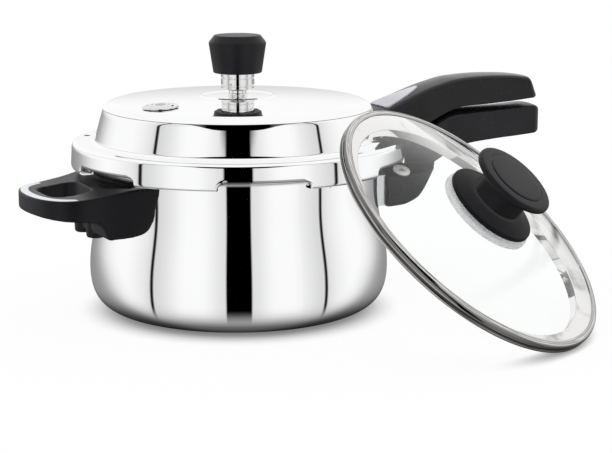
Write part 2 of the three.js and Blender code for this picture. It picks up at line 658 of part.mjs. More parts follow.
const lidProfile = lidOutside();
const plugPlace = new THREE.Matrix4()
  .makeRotationZ(PLUG_ANGLE * DEG)
  .multiply(new THREE.Matrix4().makeTranslation(PLUG_REACH, 0, crownHeight(PLUG_REACH)))
  .multiply(new THREE.Matrix4().makeRotationY(Math.atan(2 * CROWN_DROP * PLUG_REACH / CROWN_RADIUS ** 2)));

const notch = skirtNotch();
let lid = turned(sheetProfile(lidProfile, -SHEET));
for (let k = 0; k < LUG_COUNT; k += 1) {
  lid = lid.subtract(turnedAbout(notch, FIRST_NOTCH_ANGLE + k * LUG_PITCH));
}
const ventHole = tube(0, VENT_THREAD_RADIUS + FIT_GAP, LID_TOP - 3 * SHEET, LID_TOP + SHEET, SMALL_STEPS);
const plugHole = tube(0, PLUG_SHANK_RADIUS + FIT_GAP, -3 * SHEET, SHEET, SMALL_STEPS);
const sealWindow = tube(0, SEAL_WINDOW_RADIUS, LEDGE_HEIGHT - 2 * SHEET, LEDGE_HEIGHT + SHEET, SCREW_STEPS)
  .translate([SEAL_WINDOW_REACH, 0, 0]);
lid = lid
  .subtract(ventHole)
  .subtract(placed(plugHole, plugPlace))
  .subtract(turnedAbout(sealWindow, SEAL_WINDOW_ANGLE));

// Everything under the lid's outer face plus the fit gap.
const lidFace = offsetProfile(lidProfile, FIT_GAP);
const lidBody = turned([...lidFace, point(0, lidFace[lidFace.length - 1].y)]);

// Sealing ring: a channel section, open towards the inside

const sealBottom = RIM_TOP + FIT_GAP;
const sealTop = LEDGE_HEIGHT - SHEET - FIT_GAP;
const sealRing = turned([
  point(SEAL_INNER_RADIUS, sealBottom), point(SEAL_OUTER_RADIUS, sealBottom),
  point(SEAL_OUTER_RADIUS, sealTop), point(SEAL_INNER_RADIUS + SEAL_LIP, sealTop),
  point(SEAL_INNER_RADIUS + SEAL_LIP, sealTop - SEAL_LIP),
  point(SEAL_OUTER_RADIUS - SEAL_WEB, sealTop - SEAL_LIP),
  point(SEAL_OUTER_RADIUS - SEAL_WEB, sealBottom + SEAL_LIP), point(SEAL_INNER_RADIUS, sealBottom + SEAL_LIP),
  point(SEAL_INNER_RADIUS, sealBottom),
]);

// Vent pipe, its washer and nut

const ventSeat = LID_TOP + FIT_GAP;
const ventPipe = turned([
  point(VENT_BORE_RADIUS, VENT_THREAD_BOTTOM), point(VENT_THREAD_RADIUS, VENT_THREAD_BOTTOM),
  point(VENT_THREAD_RADIUS, ventSeat), point(VENT_COLLAR_RADIUS, ventSeat),
  point(VENT_COLLAR_RADIUS, ventSeat + VENT_COLLAR_HEIGHT),
  point(VENT_STEM_RADIUS, ventSeat + VENT_COLLAR_HEIGHT),
  point(VENT_STEM_RADIUS, VENT_STEM_TOP), point(VENT_TIP_RADIUS, VENT_STEM_TOP),
  point(VENT_TIP_RADIUS, VENT_TIP_TOP - VENT_TIP_CHAMFER),
  point(VENT_TIP_RADIUS - VENT_TIP_CHAMFER, VENT_TIP_TOP),
  point(VENT_BORE_RADIUS, VENT_TIP_TOP), point(VENT_BORE_RADIUS, VENT_THREAD_BOTTOM),
], SMALL_STEPS);
const ventWasherTop = LID_TOP - SHEET - FIT_GAP;
const ventWasherBottom = ventWasherTop - WASHER_THICKNESS;
const ventWasher = tube(
  VENT_THREAD_RADIUS + FIT_GAP, VENT_WASHER_RADIUS, ventWasherBottom, ventWasherTop, SMALL_STEPS,
);
const ventNutTop = ventWasherBottom - FIT_GAP;
const ventNut = nut(VENT_NUT_RADIUS, VENT_THREAD_RADIUS + FIT_GAP, ventNutTop - VENT_NUT_HEIGHT, ventNutTop);

// Safety plug, drawn upright with the crown's face at z = 0

const plugTop = FIT_GAP + PLUG_CROWN_HEIGHT;
const plugBody = turned([
  point(PLUG_CORE_RADIUS + FIT_GAP, -PLUG_SHANK_LENGTH), point(PLUG_SHANK_RADIUS, -PLUG_SHANK_LENGTH),
  point(PLUG_SHANK_RADIUS, FIT_GAP), point(PLUG_FLANGE_RADIUS, FIT_GAP),
  point(PLUG_FLANGE_RADIUS, FIT_GAP + PLUG_FLANGE_HEIGHT / 2),
  point(PLUG_FLANGE_RADIUS - PLUG_FLANGE_HEIGHT / 2, FIT_GAP + PLUG_FLANGE_HEIGHT),
  point(PLUG_CROWN_RADIUS, FIT_GAP + PLUG_FLANGE_HEIGHT),
  point(PLUG_CROWN_RADIUS - PLUG_CROWN_CHAMFER, plugTop),
  point(PLUG_CORE_RADIUS + FIT_GAP, plugTop), point(PLUG_CORE_RADIUS + FIT_GAP, -PLUG_SHANK_LENGTH),
], SMALL_STEPS);
const plugCore = tube(0, PLUG_CORE_RADIUS, -PLUG_SHANK_LENGTH, plugTop + PLUG_CORE_PROUD, SCREW_STEPS);
const plugWasherTop = -SHEET - FIT_GAP;
const plugWasherBottom = plugWasherTop - WASHER_THICKNESS;
const plugWasher = tube(
  PLUG_SHANK_RADIUS + FIT_GAP, PLUG_WASHER_RADIUS, plugWasherBottom, plugWasherTop, SMALL_STEPS,
);
const plugNutTop = plugWasherBottom - FIT_GAP;
const plugNut = nut(PLUG_NUT_RADIUS, PLUG_SHANK_RADIUS + FIT_GAP, plugNutTop - PLUG_NUT_HEIGHT, plugNutTop);

// Pressure weight and its cap

const socketRadius = VENT_TIP_RADIUS + FIT_GAP;
const grooveFloor = WEIGHT_RADIUS - WEIGHT_GROOVE_DEPTH;
const lowGroove = WEIGHT_BOTTOM + WEIGHT_BAND;
const weightBody = turned([
  point(0, WEIGHT_SOCKET_TOP), point(socketRadius, WEIGHT_SOCKET_TOP), point(socketRadius, WEIGHT_BOTTOM),
  point(WEIGHT_RADIUS, WEIGHT_BOTTOM), point(WEIGHT_RADIUS, lowGroove),
  point(grooveFloor, lowGroove), point(grooveFloor, lowGroove + WEIGHT_GROOVE_WIDTH),
  point(WEIGHT_RADIUS, lowGroove + WEIGHT_GROOVE_WIDTH), point(WEIGHT_RADIUS, WEIGHT_MIDDLE_GROOVE),
  point(grooveFloor, WEIGHT_MIDDLE_GROOVE), point(grooveFloor, WEIGHT_MIDDLE_GROOVE + WEIGHT_GROOVE_WIDTH),
  point(WEIGHT_RADIUS, WEIGHT_MIDDLE_GROOVE + WEIGHT_GROOVE_WIDTH), point(WEIGHT_RADIUS, WEIGHT_TOP),
  point(WEIGHT_STEM_RADIUS, WEIGHT_TOP), point(WEIGHT_STEM_RADIUS, WEIGHT_STEM_TOP),
  point(0, WEIGHT_STEM_TOP),
], SMALL_STEPS);
const capBottom = WEIGHT_TOP + FIT_GAP;
const weightCap = turned([
  point(0, WEIGHT_STEM_TOP + FIT_GAP), point(WEIGHT_STEM_RADIUS + FIT_GAP, WEIGHT_STEM_TOP + FIT_GAP),
  point(WEIGHT_STEM_RADIUS + FIT_GAP, capBottom), point(CAP_BOTTOM_RADIUS - CAP_EDGE, capBottom),
  point(CAP_BOTTOM_RADIUS, capBottom + CAP_EDGE), point(CAP_WIDE_RADIUS, CAP_WIDE_HEIGHT - CAP_EDGE),
  point(CAP_WIDE_RADIUS, CAP_WIDE_HEIGHT), point(CAP_TOP_RADIUS + CAP_EDGE, CAP_TOP - CAP_EDGE / 2),
  point(CAP_TOP_RADIUS, CAP_TOP), point(0, CAP_TOP),
], SMALL_STEPS);

// Lid handle with its strap, screw and leaf inlay

function lidStrapShape(grow) {
  return block(
    DOME_EDGE_RADIUS, LID_STRAP_END + grow, LID_STRAP_HALF_WIDTH + grow,
    LID_STRAP_BOTTOM - grow, LID_STRAP_TOP + grow,
  );
}

const fixing = [FIXING_HEAD_RADIUS, FIXING_HEAD_HEIGHT, FIXING_SHANK_RADIUS, FIXING_SHANK_LENGTH];
const fromBelow = (x, y, z) => new THREE.Matrix4().makeTranslation(x, y, z)
  .multiply(new THREE.Matrix4().makeRotationX(Math.PI));
const lidScrewPlace = fromBelow(LID_SCREW_X, 0, LID_SCREW_HEAD_BOTTOM);
const lidScrew = placed(screw(...fixing), lidScrewPlace);
const lidScrewHole = placed(screwHole(...fixing), lidScrewPlace);
const lidStrap = lidStrapShape(0)
  .subtract(lidBody)
  .subtract(lidScrewHole);

const [, leafRow, leafNextRow] = lidHandleRows;
const leafSlope = Math.atan2(leafNextRow[3] - leafRow[3], leafNextRow[0] - leafRow[0]);
const leafStartHeight = leafRow[3] + (LEAF_START - leafRow[0]) * Math.tan(leafSlope);
const leafPlace = new THREE.Matrix4()
  .makeTranslation(LEAF_START, 0, leafStartHeight)
  .multiply(new THREE.Matrix4().makeRotationY(-leafSlope));

function leafOutline(grow) {
  const outline = new THREE.Shape();
  const half = LEAF_HALF_WIDTH + grow;
  const pullHalf = LEAF_TIP_PULL_WIDTH + grow;
  const tip = LEAF_LENGTH + grow;
  outline.moveTo(-grow, -LEAF_ROOT_HALF_WIDTH);
  outline.quadraticCurveTo(LEAF_ROOT_PULL, -half, LEAF_WIDEST, -half);
  outline.quadraticCurveTo(LEAF_TIP_PULL, -pullHalf, tip, -LEAF_TIP_HALF_WIDTH);
  outline.lineTo(tip, LEAF_TIP_HALF_WIDTH);
  outline.quadraticCurveTo(LEAF_TIP_PULL, pullHalf, LEAF_WIDEST, half);
  outline.quadraticCurveTo(LEAF_ROOT_PULL, half, -grow, LEAF_ROOT_HALF_WIDTH);
  return outline;
}

const leafBottom = INLAY_PROUD - INLAY_THICKNESS;
const leafInlay = placed(raised(leafOutline(0), leafBottom, INLAY_PROUD), leafPlace);
const leafHollow = raised(leafOutline(FIT_GAP), leafBottom - FIT_GAP, INLAY_PROUD + CUT_OVER);
const lidHandle = lofted(handleRows(lidHandleRows, LID_HANDLE_END), LID_HANDLE_ROUND)
  .subtract(lidBody)
  .subtract(lidStrapShape(FIT_GAP))
  .subtract(lidScrewHole)
  .subtract(placed(leafHollow, leafPlace));

// Body handle with its bracket and shoulder screws

const bodyBracketFront = bodyHandleRows[0][0] - FIT_GAP;
function bodyTongue(grow) {
  return block(
    NECK_RADIUS, BODY_TONGUE_END + grow, BODY_TONGUE_HALF_WIDTH + grow,
    BODY_TONGUE_BOTTOM - grow, BODY_TONGUE_TOP + grow,
  );
}

function waistGroove(side) {
  const outline = new THREE.Shape([
    point(side * WAIST_OUTER, WAIST_OUTER_HEIGHT), point(side * WAIST_DEPTH, WAIST_HEIGHT),
    point(side * WAIST_TOP_WIDTH, WAIST_TOP), point(side * WAIST_OUTER, WAIST_TOP),
  ]);
  return placed(raised(outline, NECK_RADIUS, BODY_HANDLE_END), alongX);
}

// The screws stand square to the sloping shoulder below the waist.
const shoulderSlope = Math.atan2(WAIST_HEIGHT - WAIST_OUTER_HEIGHT, WAIST_OUTER - WAIST_DEPTH);
const shoulderHeight = WAIST_HEIGHT - (SHOULDER_SCREW_Y - WAIST_DEPTH) * Math.tan(shoulderSlope);
const shoulderScrewPlace = (side) => new THREE.Matrix4()
  .makeTranslation(SHOULDER_SCREW_X, side * SHOULDER_SCREW_Y, shoulderHeight)
  .multiply(new THREE.Matrix4().makeRotationX(-side * shoulderSlope))
  .multiply(new THREE.Matrix4().makeTranslation(0, 0, SHOULDER_HEAD_HEIGHT - SHOULDER_SEAT_DEPTH));
const shoulderFixing = [
  SHOULDER_HEAD_RADIUS, SHOULDER_HEAD_HEIGHT, SHOULDER_SHANK_RADIUS, SHOULDER_SHANK_LENGTH,
];
const shoulderScrew = (side) => placed(screw(...shoulderFixing), shoulderScrewPlace(side));
const shoulderHole = (side) => placed(screwHole(...shoulderFixing), shoulderScrewPlace(side));

const bodyBracket = block(0, bodyBracketFront, BODY_BRACKET_HALF_WIDTH, BODY_BRACKET_BOTTOM, BODY_BRACKET_TOP)
  .add(bodyTongue(0))
  .subtract(potBody)
  .subtract(shoulderHole(-1))
  .subtract(shoulderHole(1));
const lidSwing = tube(
  0, SKIRT_BOTTOM_RADIUS + HANDLE_SWING_GAP, SKIRT_BOTTOM - HANDLE_SWING_GAP, LEDGE_HEIGHT + HANDLE_SWING_GAP,
);
const bodyHandle = lofted(handleRows(bodyHandleRows, BODY_HANDLE_END), BODY_HANDLE_ROUND)
  .subtract(lidSwing)
  .subtract(waistGroove(-1))
  .subtract(waistGroove(1))
  .subtract(bodyTongue(FIT_GAP))
  .subtract(shoulderHole(-1))
  .subtract(shoulderHole(1));

// Helper handle: a loop on the side away from the long handles

// The grip's edge from one arm round the front to the other.
function gripEdge() {
  const far = GRIP_ROWS.map(([reach, halfWidth]) => point(-NECK_RADIUS - reach, halfWidth));
  const near = far.slice(0, -1).reverse().map((at) => point(at.x, -at.y));
  return new THREE.SplineCurve([...far, ...near]).getPoints(GRIP_STEPS);
}

function helperGrip() {
  const edge = gripEdge();
  const armHalf = edge[0].y;
  const root = [point(-HELPER_BASE_BACK, -armHalf), point(-HELPER_BASE_BACK, armHalf)];
  const outline = new THREE.Shape([...root, ...edge]);
  outline.holes.push(roundedOutline(-LOOP_FRONT, -LOOP_BACK, -LOOP_HALF_WIDTH, LOOP_HALF_WIDTH, LOOP_CORNER));
  return raised(outline, HELPER_BAR_BOTTOM, HELPER_BAR_TOP, HELPER_EDGE_ROUND);
}

// The base tapers towards the grip, and its lower corners and its heel at the pot are rounded.
function helperBase() {
  const back = -HELPER_BASE_BACK / 2;
  const half = HELPER_BASE_HALF_WIDTH;
  const frontHalf = HELPER_BASE_FRONT_HALF_WIDTH;
  const corner = HELPER_BASE_CORNER;
  const plan = new THREE.Shape();
  plan.moveTo(back, -half);
  plan.lineTo(-HELPER_BASE_BACK, -half);
  plan.lineTo(-HELPER_BASE_FRONT + corner, -frontHalf);
  plan.quadraticCurveTo(-HELPER_BASE_FRONT, -frontHalf, -HELPER_BASE_FRONT, corner - frontHalf);
  plan.lineTo(-HELPER_BASE_FRONT, frontHalf - corner);
  plan.quadraticCurveTo(-HELPER_BASE_FRONT, frontHalf, -HELPER_BASE_FRONT + corner, frontHalf);
  plan.lineTo(-HELPER_BASE_BACK, half);
  plan.lineTo(back, half);
  const lower = HELPER_BASE_LOWER_CORNER;
  const front = roundedOutline(-half, half, HELPER_BASE_BOTTOM, HELPER_BASE_TOP + lower, lower);
  const side = roundedOutline(
    -2 * HELPER_BASE_FRONT, -HELPER_HEEL, HELPER_BASE_BOTTOM, HELPER_BASE_TOP + lower, HELPER_HEEL_CORNER,
  );
  return raised(plan, HELPER_BASE_BOTTOM, HELPER_BASE_TOP, HELPER_EDGE_ROUND)
    .intersect(placed(raised(front, -HELPER_BASE_FRONT - CUT_OVER, 0), alongX))
    .intersect(placed(raised(side, -2 * half, 2 * half), alongY));
}

function gripStrip(outerInset, innerInset, start, bottom, top) {
  const inFront = (edge) => edge.filter((at) => at.x < -start);
  const inset = (distance) => inFront(offsetProfile(gripEdge(), distance));
  const outline = [...inset(outerInset), ...inset(innerInset).reverse()];
  return raised(new THREE.Shape(outline), bottom, top);
}

const inlayInner = HELPER_INLAY_MARGIN + HELPER_INLAY_WIDTH;
const inlayTop = HELPER_BAR_TOP + INLAY_PROUD;
const inlayBottom = inlayTop - INLAY_THICKNESS;
const helperInlay = gripStrip(HELPER_INLAY_MARGIN, inlayInner, HELPER_INLAY_START, inlayBottom, inlayTop);
const helperInlayPocket = gripStrip(
  HELPER_INLAY_MARGIN - FIT_GAP, inlayInner + FIT_GAP, HELPER_INLAY_START - CUT_OVER,
  inlayBottom - FIT_GAP, HELPER_BASE_TOP,
);

function helperBracketShape(grow) {
  const foot = tube(0, HELPER_FOOT_RADIUS + grow, HELPER_FOOT_BOTTOM - grow, HELPER_FOOT_TOP + grow)
    .intersect(block(-2 * NECK_RADIUS, 0, HELPER_FOOT_HALF_WIDTH + grow, 0, RIM_TOP));
  const tongue = block(
    -HELPER_TONGUE_END - grow, 0, HELPER_TONGUE_HALF_WIDTH + grow,
    HELPER_TONGUE_BOTTOM - grow, HELPER_TONGUE_TOP + grow,
  );
  return foot.add(tongue);
}

const helperScrewPlace = fromBelow(-HELPER_SCREW_X, 0, HELPER_BASE_BOTTOM + FIT_GAP);
const helperScrew = placed(screw(...fixing), helperScrewPlace);
const helperScrewHole = placed(screwHole(...fixing), helperScrewPlace);
const helperBracket = helperBracketShape(0)
  .subtract(potBody)
  .subtract(helperScrewHole);
const boss = tube(0, BOSS_RADIUS, BOSS_BOTTOM, HELPER_BAR_BOTTOM, SMALL_STEPS);
const helperHandle = helperGrip()
  .add(helperBase())
  .add(boss.translate([-BOSS_X, -BOSS_HALF_SPAN, 0]))
  .add(boss.translate([-BOSS_X, BOSS_HALF_SPAN, 0]))
  .subtract(potBody)
  .subtract(helperBracketShape(FIT_GAP))
  .subtract(helperScrewHole)
  .subtract(helperInlayPocket);

// Glass lid, drawn flat and then leaned against the cooker

const glassSphere = (GLASS_EDGE_RADIUS ** 2 + GLASS_RISE ** 2) / (2 * GLASS_RISE);
const glassSeat = RIM_METAL + FIT_GAP;
const glassCentre = glassSeat + GLASS_RISE - glassSphere;
const glassUnderside = (radius) => glassCentre + Math.sqrt(glassSphere ** 2 - radius ** 2);
const glassTop = (radius) => glassUnderside(radius) + GLASS_THICKNESS;

function glassDisc() {
  const radii = [];
  for (let k = 0; k <= GLASS_RINGS; k += 1) {
    radii.push(GLASS_HOLE_RADIUS + (GLASS_EDGE_RADIUS - GLASS_HOLE_RADIUS) * k / GLASS_RINGS);
  }
  const under = radii.map((radius) => point(radius, glassUnderside(radius)));
  const over = radii.map((radius) => point(radius, glassTop(radius))).reverse();
  return turned([...under, ...over, under[0]]);
}

// Steel band: a channel round the glass edge with a step that locates in the pot's mouth.
function glassRim() {
  const lipUnder = (radius) => glassTop(radius) + FIT_GAP;
  const lipOuter = GLASS_EDGE_RADIUS + FIT_GAP;
  return turned([
    point(RIM_STEP_RADIUS, -RIM_STEP_DEPTH), point(RIM_STEP_RADIUS + RIM_METAL, -RIM_STEP_DEPTH),
    point(RIM_STEP_RADIUS + RIM_METAL, 0), point(GLASS_LID_RADIUS, 0),
    point(GLASS_LID_RADIUS, RIM_BAND_HEIGHT), point(lipOuter, lipUnder(lipOuter) + RIM_METAL),
    point(RIM_LIP_RADIUS, lipUnder(RIM_LIP_RADIUS) + RIM_METAL),
    point(RIM_LIP_RADIUS, lipUnder(RIM_LIP_RADIUS)),
    point(lipOuter, lipUnder(lipOuter)), point(lipOuter, RIM_METAL),
    point(RIM_STEP_RADIUS, RIM_METAL), point(RIM_STEP_RADIUS, -RIM_STEP_DEPTH),
  ]);
}

const knobSeat = glassTop(KNOB_FLANGE_RADIUS) + FIT_GAP;
const knobCentre = glassTop(0) + FIT_GAP;
const knobFlangeTop = knobSeat + KNOB_FLANGE_THICKNESS;
const knobTop = knobSeat + KNOB_HEIGHT;
const screwRadius = GLASS_HOLE_RADIUS - FIT_GAP;
const knobScrewTop = glassUnderside(0) - 2 * FIT_GAP - WASHER_THICKNESS + KNOB_SCREW_LENGTH;
const knobFlange = turned([
  point(GLASS_HOLE_RADIUS, knobCentre),
  point(KNOB_FLANGE_RADIUS / 2, glassTop(KNOB_FLANGE_RADIUS / 2) + FIT_GAP),
  point(KNOB_FLANGE_RADIUS, knobSeat), point(KNOB_FLANGE_RADIUS, knobSeat + KNOB_FLANGE_EDGE),
  point(KNOB_FLANGE_RADIUS - KNOB_EDGE_ROUND, knobSeat + KNOB_FLANGE_EDGE + KNOB_EDGE_ROUND / 2),
  point(KNOB_NECK_RADIUS + KNOB_FLANGE_COLLAR, knobFlangeTop), point(GLASS_HOLE_RADIUS, knobFlangeTop),
  point(GLASS_HOLE_RADIUS, knobCentre),
], KNOB_STEPS);
const knobNeckBottom = knobFlangeTop + FIT_GAP;
const discFloor = knobTop - KNOB_DISC_RECESS;
const knobNeckTop = knobTop - KNOB_TOP_EDGE - KNOB_TOP_UNDERCUT;
const knobGrip = turned([
  point(GLASS_HOLE_RADIUS, knobNeckBottom), point(KNOB_NECK_RADIUS, knobNeckBottom),
  point(KNOB_NECK_RADIUS, knobNeckTop - KNOB_NECK_FLARE_HEIGHT),
  point(KNOB_NECK_RADIUS + KNOB_NECK_FLARE, knobNeckTop),
  point(KNOB_TOP_RADIUS - KNOB_EDGE_ROUND, knobTop - KNOB_TOP_EDGE),
  point(KNOB_TOP_RADIUS, knobTop - KNOB_TOP_EDGE + KNOB_EDGE_ROUND),
  point(KNOB_TOP_RADIUS, knobTop - KNOB_CROWN_ROUND),
  point(KNOB_TOP_RADIUS - KNOB_CROWN_ROUND, knobTop - KNOB_CROWN_DROP),
  point(KNOB_DISC_RADIUS + FIT_GAP, knobTop), point(KNOB_DISC_RADIUS + FIT_GAP, discFloor),
  point(0, discFloor), point(0, knobScrewTop + FIT_GAP), point(GLASS_HOLE_RADIUS, knobScrewTop + FIT_GAP),
  point(GLASS_HOLE_RADIUS, knobNeckBottom),
], KNOB_STEPS);
const knobDisc = turned([
  point(0, discFloor + FIT_GAP), point(KNOB_DISC_RADIUS, discFloor + FIT_GAP),
  point(KNOB_DISC_RADIUS, knobTop), point(KNOB_DISC_RADIUS - KNOB_DISC_CHAMFER, knobTop + KNOB_DISC_PROUD),
  point(0, knobTop + 2 * KNOB_DISC_PROUD),
], KNOB_STEPS);
const washerSeat = (radius) => glassUnderside(radius) - FIT_GAP;
const knobWasher = turned([
  point(GLASS_HOLE_RADIUS, washerSeat(0) - WASHER_THICKNESS),
  point(KNOB_WASHER_RADIUS, washerSeat(KNOB_WASHER_RADIUS) - WASHER_THICKNESS),
  point(KNOB_WASHER_RADIUS, washerSeat(KNOB_WASHER_RADIUS)),
  point(KNOB_WASHER_RADIUS / 2, washerSeat(KNOB_WASHER_RADIUS / 2)),
  point(GLASS_HOLE_RADIUS, washerSeat(0)), point(GLASS_HOLE_RADIUS, washerSeat(0) - WASHER_THICKNESS),
], KNOB_STEPS);
const knobScrewHead = washerSeat(0) - WASHER_THICKNESS - FIT_GAP;
const knobScrew = placed(
  screw(KNOB_SCREW_HEAD_RADIUS, FIXING_HEAD_HEIGHT, screwRadius, KNOB_SCREW_LENGTH),
  fromBelow(0, 0, knobScrewHead - FIXING_HEAD_HEIGHT),
);

// How far out the middle of the leaning rim stands, so that the rim clears the steel lid beside it.
function leanReach() {
  const rimMiddle = GLASS_LID_RADIUS * Math.sin(GLASS_LID_TILT * DEG);
  const slope = Math.tan(GLASS_LID_TILT * DEG);
  const reaches = lidProfile.slice(1).map((lower, i) => {
    const upper = lidProfile[i];
    const fall = Math.max(upper.y - lower.y, FIT_GAP);
    const part = THREE.MathUtils.clamp((2 * rimMiddle - lower.y) / fall, 0, 1);
    const at = lower.clone().lerp(upper, part);
    return at.y > 2 * rimMiddle ? 0 : at.x + (at.y - rimMiddle) / slope;
  });
  return Math.max(...reaches) + LEAN_GAP;
}

const glassLidReach = leanReach();
const glassLidPlace = new THREE.Matrix4()
  .makeTranslation(
    glassLidReach * Math.cos(GLASS_LID_BEARING * DEG),
    glassLidReach * Math.sin(GLASS_LID_BEARING * DEG),
    GLASS_LID_RADIUS * Math.sin(GLASS_LID_TILT * DEG),
  )
  .multiply(new THREE.Matrix4().makeRotationZ(GLASS_LID_AZIMUTH * DEG))
  .multiply(new THREE.Matrix4().makeRotationY(GLASS_LID_TILT * DEG));
const leaned = (solid) => placed(solid, glassLidPlace);

// The assembly

const cooker = new THREE.Group();
cooker.add(
  meshOf('pot_shell', pot, steel),
  meshOf('body_bracket', bodyBracket, steel),
  meshOf('body_handle', bodyHandle, bakelite),
  meshOf('body_screw_near', shoulderScrew(-1), steel),
  meshOf('body_screw_far', shoulderScrew(1), steel),
  meshOf('helper_bracket', helperBracket, steel),
  meshOf('helper_handle', helperHandle, bakelite),
  meshOf('helper_inlay', helperInlay, silver),
  meshOf('helper_screw', helperScrew, steel),
  meshOf('lid_shell', lid, steel),
  meshOf('seal_ring', sealRing, rubber),
  meshOf('lid_strap', lidStrap, steel),
  meshOf('lid_handle', lidHandle, bakelite),
  meshOf('lid_handle_leaf', leafInlay, silver),
  meshOf('lid_handle_screw', lidScrew, steel),
  meshOf('vent_pipe', ventPipe, steel),
  meshOf('vent_washer', ventWasher, rubber),
  meshOf('vent_nut', ventNut, steel),
  meshOf('safety_plug', placed(plugBody, plugPlace), steel),
  meshOf('safety_plug_core', placed(plugCore, plugPlace), brass),
  meshOf('safety_plug_washer', placed(plugWasher, plugPlace), rubber),
  meshOf('safety_plug_nut', placed(plugNut, plugPlace), steel),
  meshOf('weight_body', weightBody, steel),
  meshOf('weight_cap', weightCap, bakelite),
  meshOf('glass_disc', leaned(glassDisc()), glass),
  meshOf('glass_rim', leaned(glassRim()), steel),
  meshOf('knob_flange', leaned(knobFlange), bakelite),
  meshOf('knob_grip', leaned(knobGrip), bakelite),
  meshOf('knob_disc', leaned(knobDisc), bakelite),
  meshOf('knob_washer', leaned(knobWasher), silicone),
  meshOf('knob_screw', leaned(knobScrew), steel),
);

export default cooker;
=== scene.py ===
import math

import bmesh
import bpy
from mathutils import Euler, Matrix, Vector


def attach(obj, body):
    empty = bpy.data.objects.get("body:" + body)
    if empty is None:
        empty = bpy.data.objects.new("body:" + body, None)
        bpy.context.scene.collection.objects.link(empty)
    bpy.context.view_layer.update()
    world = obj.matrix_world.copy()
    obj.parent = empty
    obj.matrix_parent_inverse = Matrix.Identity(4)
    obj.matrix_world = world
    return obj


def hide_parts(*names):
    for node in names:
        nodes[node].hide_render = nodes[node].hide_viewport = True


# Polished steel pressure cooker with its spare glass lid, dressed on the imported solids.
# Sizes are in millimetres, in the solids' frame: +Z up, +X along the long handles.

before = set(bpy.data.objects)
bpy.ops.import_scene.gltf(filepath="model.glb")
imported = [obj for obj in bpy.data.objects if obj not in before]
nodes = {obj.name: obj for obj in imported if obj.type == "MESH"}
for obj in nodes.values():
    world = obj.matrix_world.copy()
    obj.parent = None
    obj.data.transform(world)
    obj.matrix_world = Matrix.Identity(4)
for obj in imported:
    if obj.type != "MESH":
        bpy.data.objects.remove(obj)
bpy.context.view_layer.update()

MM = 0.001
FIT_GAP = 0.3
SHEET = 2.0
FINE_STEPS = 240
ROUND_STEPS = 96

scene = bpy.context.scene


# Material helpers

# Most values of a noise lie between these two.
NOISE_LOW = 0.3
NOISE_HIGH = 0.7


def feed(made, values):
    """Gives a node's inputs their constants, or links them where a value is another node's output."""
    for label, value in values.items():
        if isinstance(value, bpy.types.NodeSocket):
            made.id_data.links.new(value, made.inputs[label])
        else:
            made.inputs[label].default_value = value


def node(tree, kind, values=None, **settings):
    """A node with its settings and its inputs."""
    made = tree.nodes.new(kind)
    for key, value in settings.items():
        setattr(made, key, value)
    feed(made, values or {})
    return made


def maths(tree, operation, *values):
    return node(tree, "ShaderNodeMath", dict(enumerate(values)), operation=operation).outputs[0]


def vector_maths(tree, operation, *values):
    return node(tree, "ShaderNodeVectorMath", dict(enumerate(values)), operation=operation).outputs


def fresh_material(name, values):
    """A new material, its tree, and its shader with the given constants."""
    material = bpy.data.materials.new(name)
    material.use_nodes = True
    tree = material.node_tree
    shader = tree.nodes["Principled BSDF"]
    feed(shader, values)
    return material, tree, shader


def object_coords(tree, stretch=(1, 1, 1)):
    place = node(tree, "ShaderNodeTexCoord").outputs["Object"]
    return node(tree, "ShaderNodeMapping", {"Vector": place, "Scale": stretch}).outputs["Vector"]


def noise(tree, scale, detail=3.0, rough=0.5, stretch=(1, 1, 1)):
    values = {"Vector": object_coords(tree, stretch), "Scale": scale, "Detail": detail, "Roughness": rough}
    return node(tree, "ShaderNodeTexNoise", values).outputs["Fac"]


def spread(tree, value, low, high, start=NOISE_LOW, end=NOISE_HIGH, **settings):
    """Maps a value from the stretch between start and end to the one between low and high."""
    values = {"Value": value, "From Min": start, "From Max": end, "To Min": low, "To Max": high}
    return node(tree, "ShaderNodeMapRange", values, **settings).outputs["Result"]


def shades(tree, value, stops):
    made = node(tree, "ShaderNodeValToRGB", {"Fac": value})
    ramp = made.color_ramp
    ramp.elements[0].position, ramp.elements[0].color = stops[0]
    ramp.elements[1].position, ramp.elements[1].color = stops[-1]
    for place, colour in stops[1:-1]:
        ramp.elements.new(place).color = colour
    return made.outputs["Color"]


def two_tones(tree, value, low, high):
    return shades(tree, value, [(NOISE_LOW, (*low, 1)), (NOISE_HIGH, (*high, 1))])


def blend(tree, share, first, second):
    values = {"Factor": share, "A": first, "B": second}
    return node(tree, "ShaderNodeMix", values, data_type="RGBA").outputs["Result"]


def relief(tree, height, strength, depth):
    return node(tree, "ShaderNodeBump", {"Height": height, "Strength": strength, "Distance": depth}).outputs["Normal"]


# Finishes

METAL = {"Metallic": 1}
WIPE_STRETCH = (40, 40, 700)
# Darker steel tones laid on the rolled lip in the lid's notches as painted shade.
LIP_SHADE_TONES = ((0.34, 0.33, 0.33), (0.42, 0.41, 0.41))
# Share of the rim band's height, and how bright the steel is painted there: bands of painted reflection, painted
# highlight and painted shade.
RIM_PAINTED_BANDS = [
    (0.02, 0.84), (0.15, 0.82), (0.165, 0.20), (0.19, 0.40), (0.25, 0.10), (0.34, 0.06), (0.43, 0.16), (0.49, 0.66),
    (0.55, 0.20), (0.74, 0.17), (0.82, 0.30), (0.86, 0.74), (0.89, 0.30), (0.93, 0.66), (1.0, 0.78),
]
RIM_BAND = (-0.0005, 0.0085)


def finish(name, constants, pattern, low, high, rough, bump=None, grain=None):
    """Colour and roughness follow one noise; the relief follows it too, or a grain of its own."""
    material, tree, shader = fresh_material(name, constants)
    cloud = noise(tree, *pattern)
    feed(shader, {"Base Color": two_tones(tree, cloud, low, high), "Roughness": spread(tree, cloud, *rough)})
    if bump:
        feed(shader, {"Normal": relief(tree, noise(tree, *grain) if grain else cloud, *bump)})
    return material


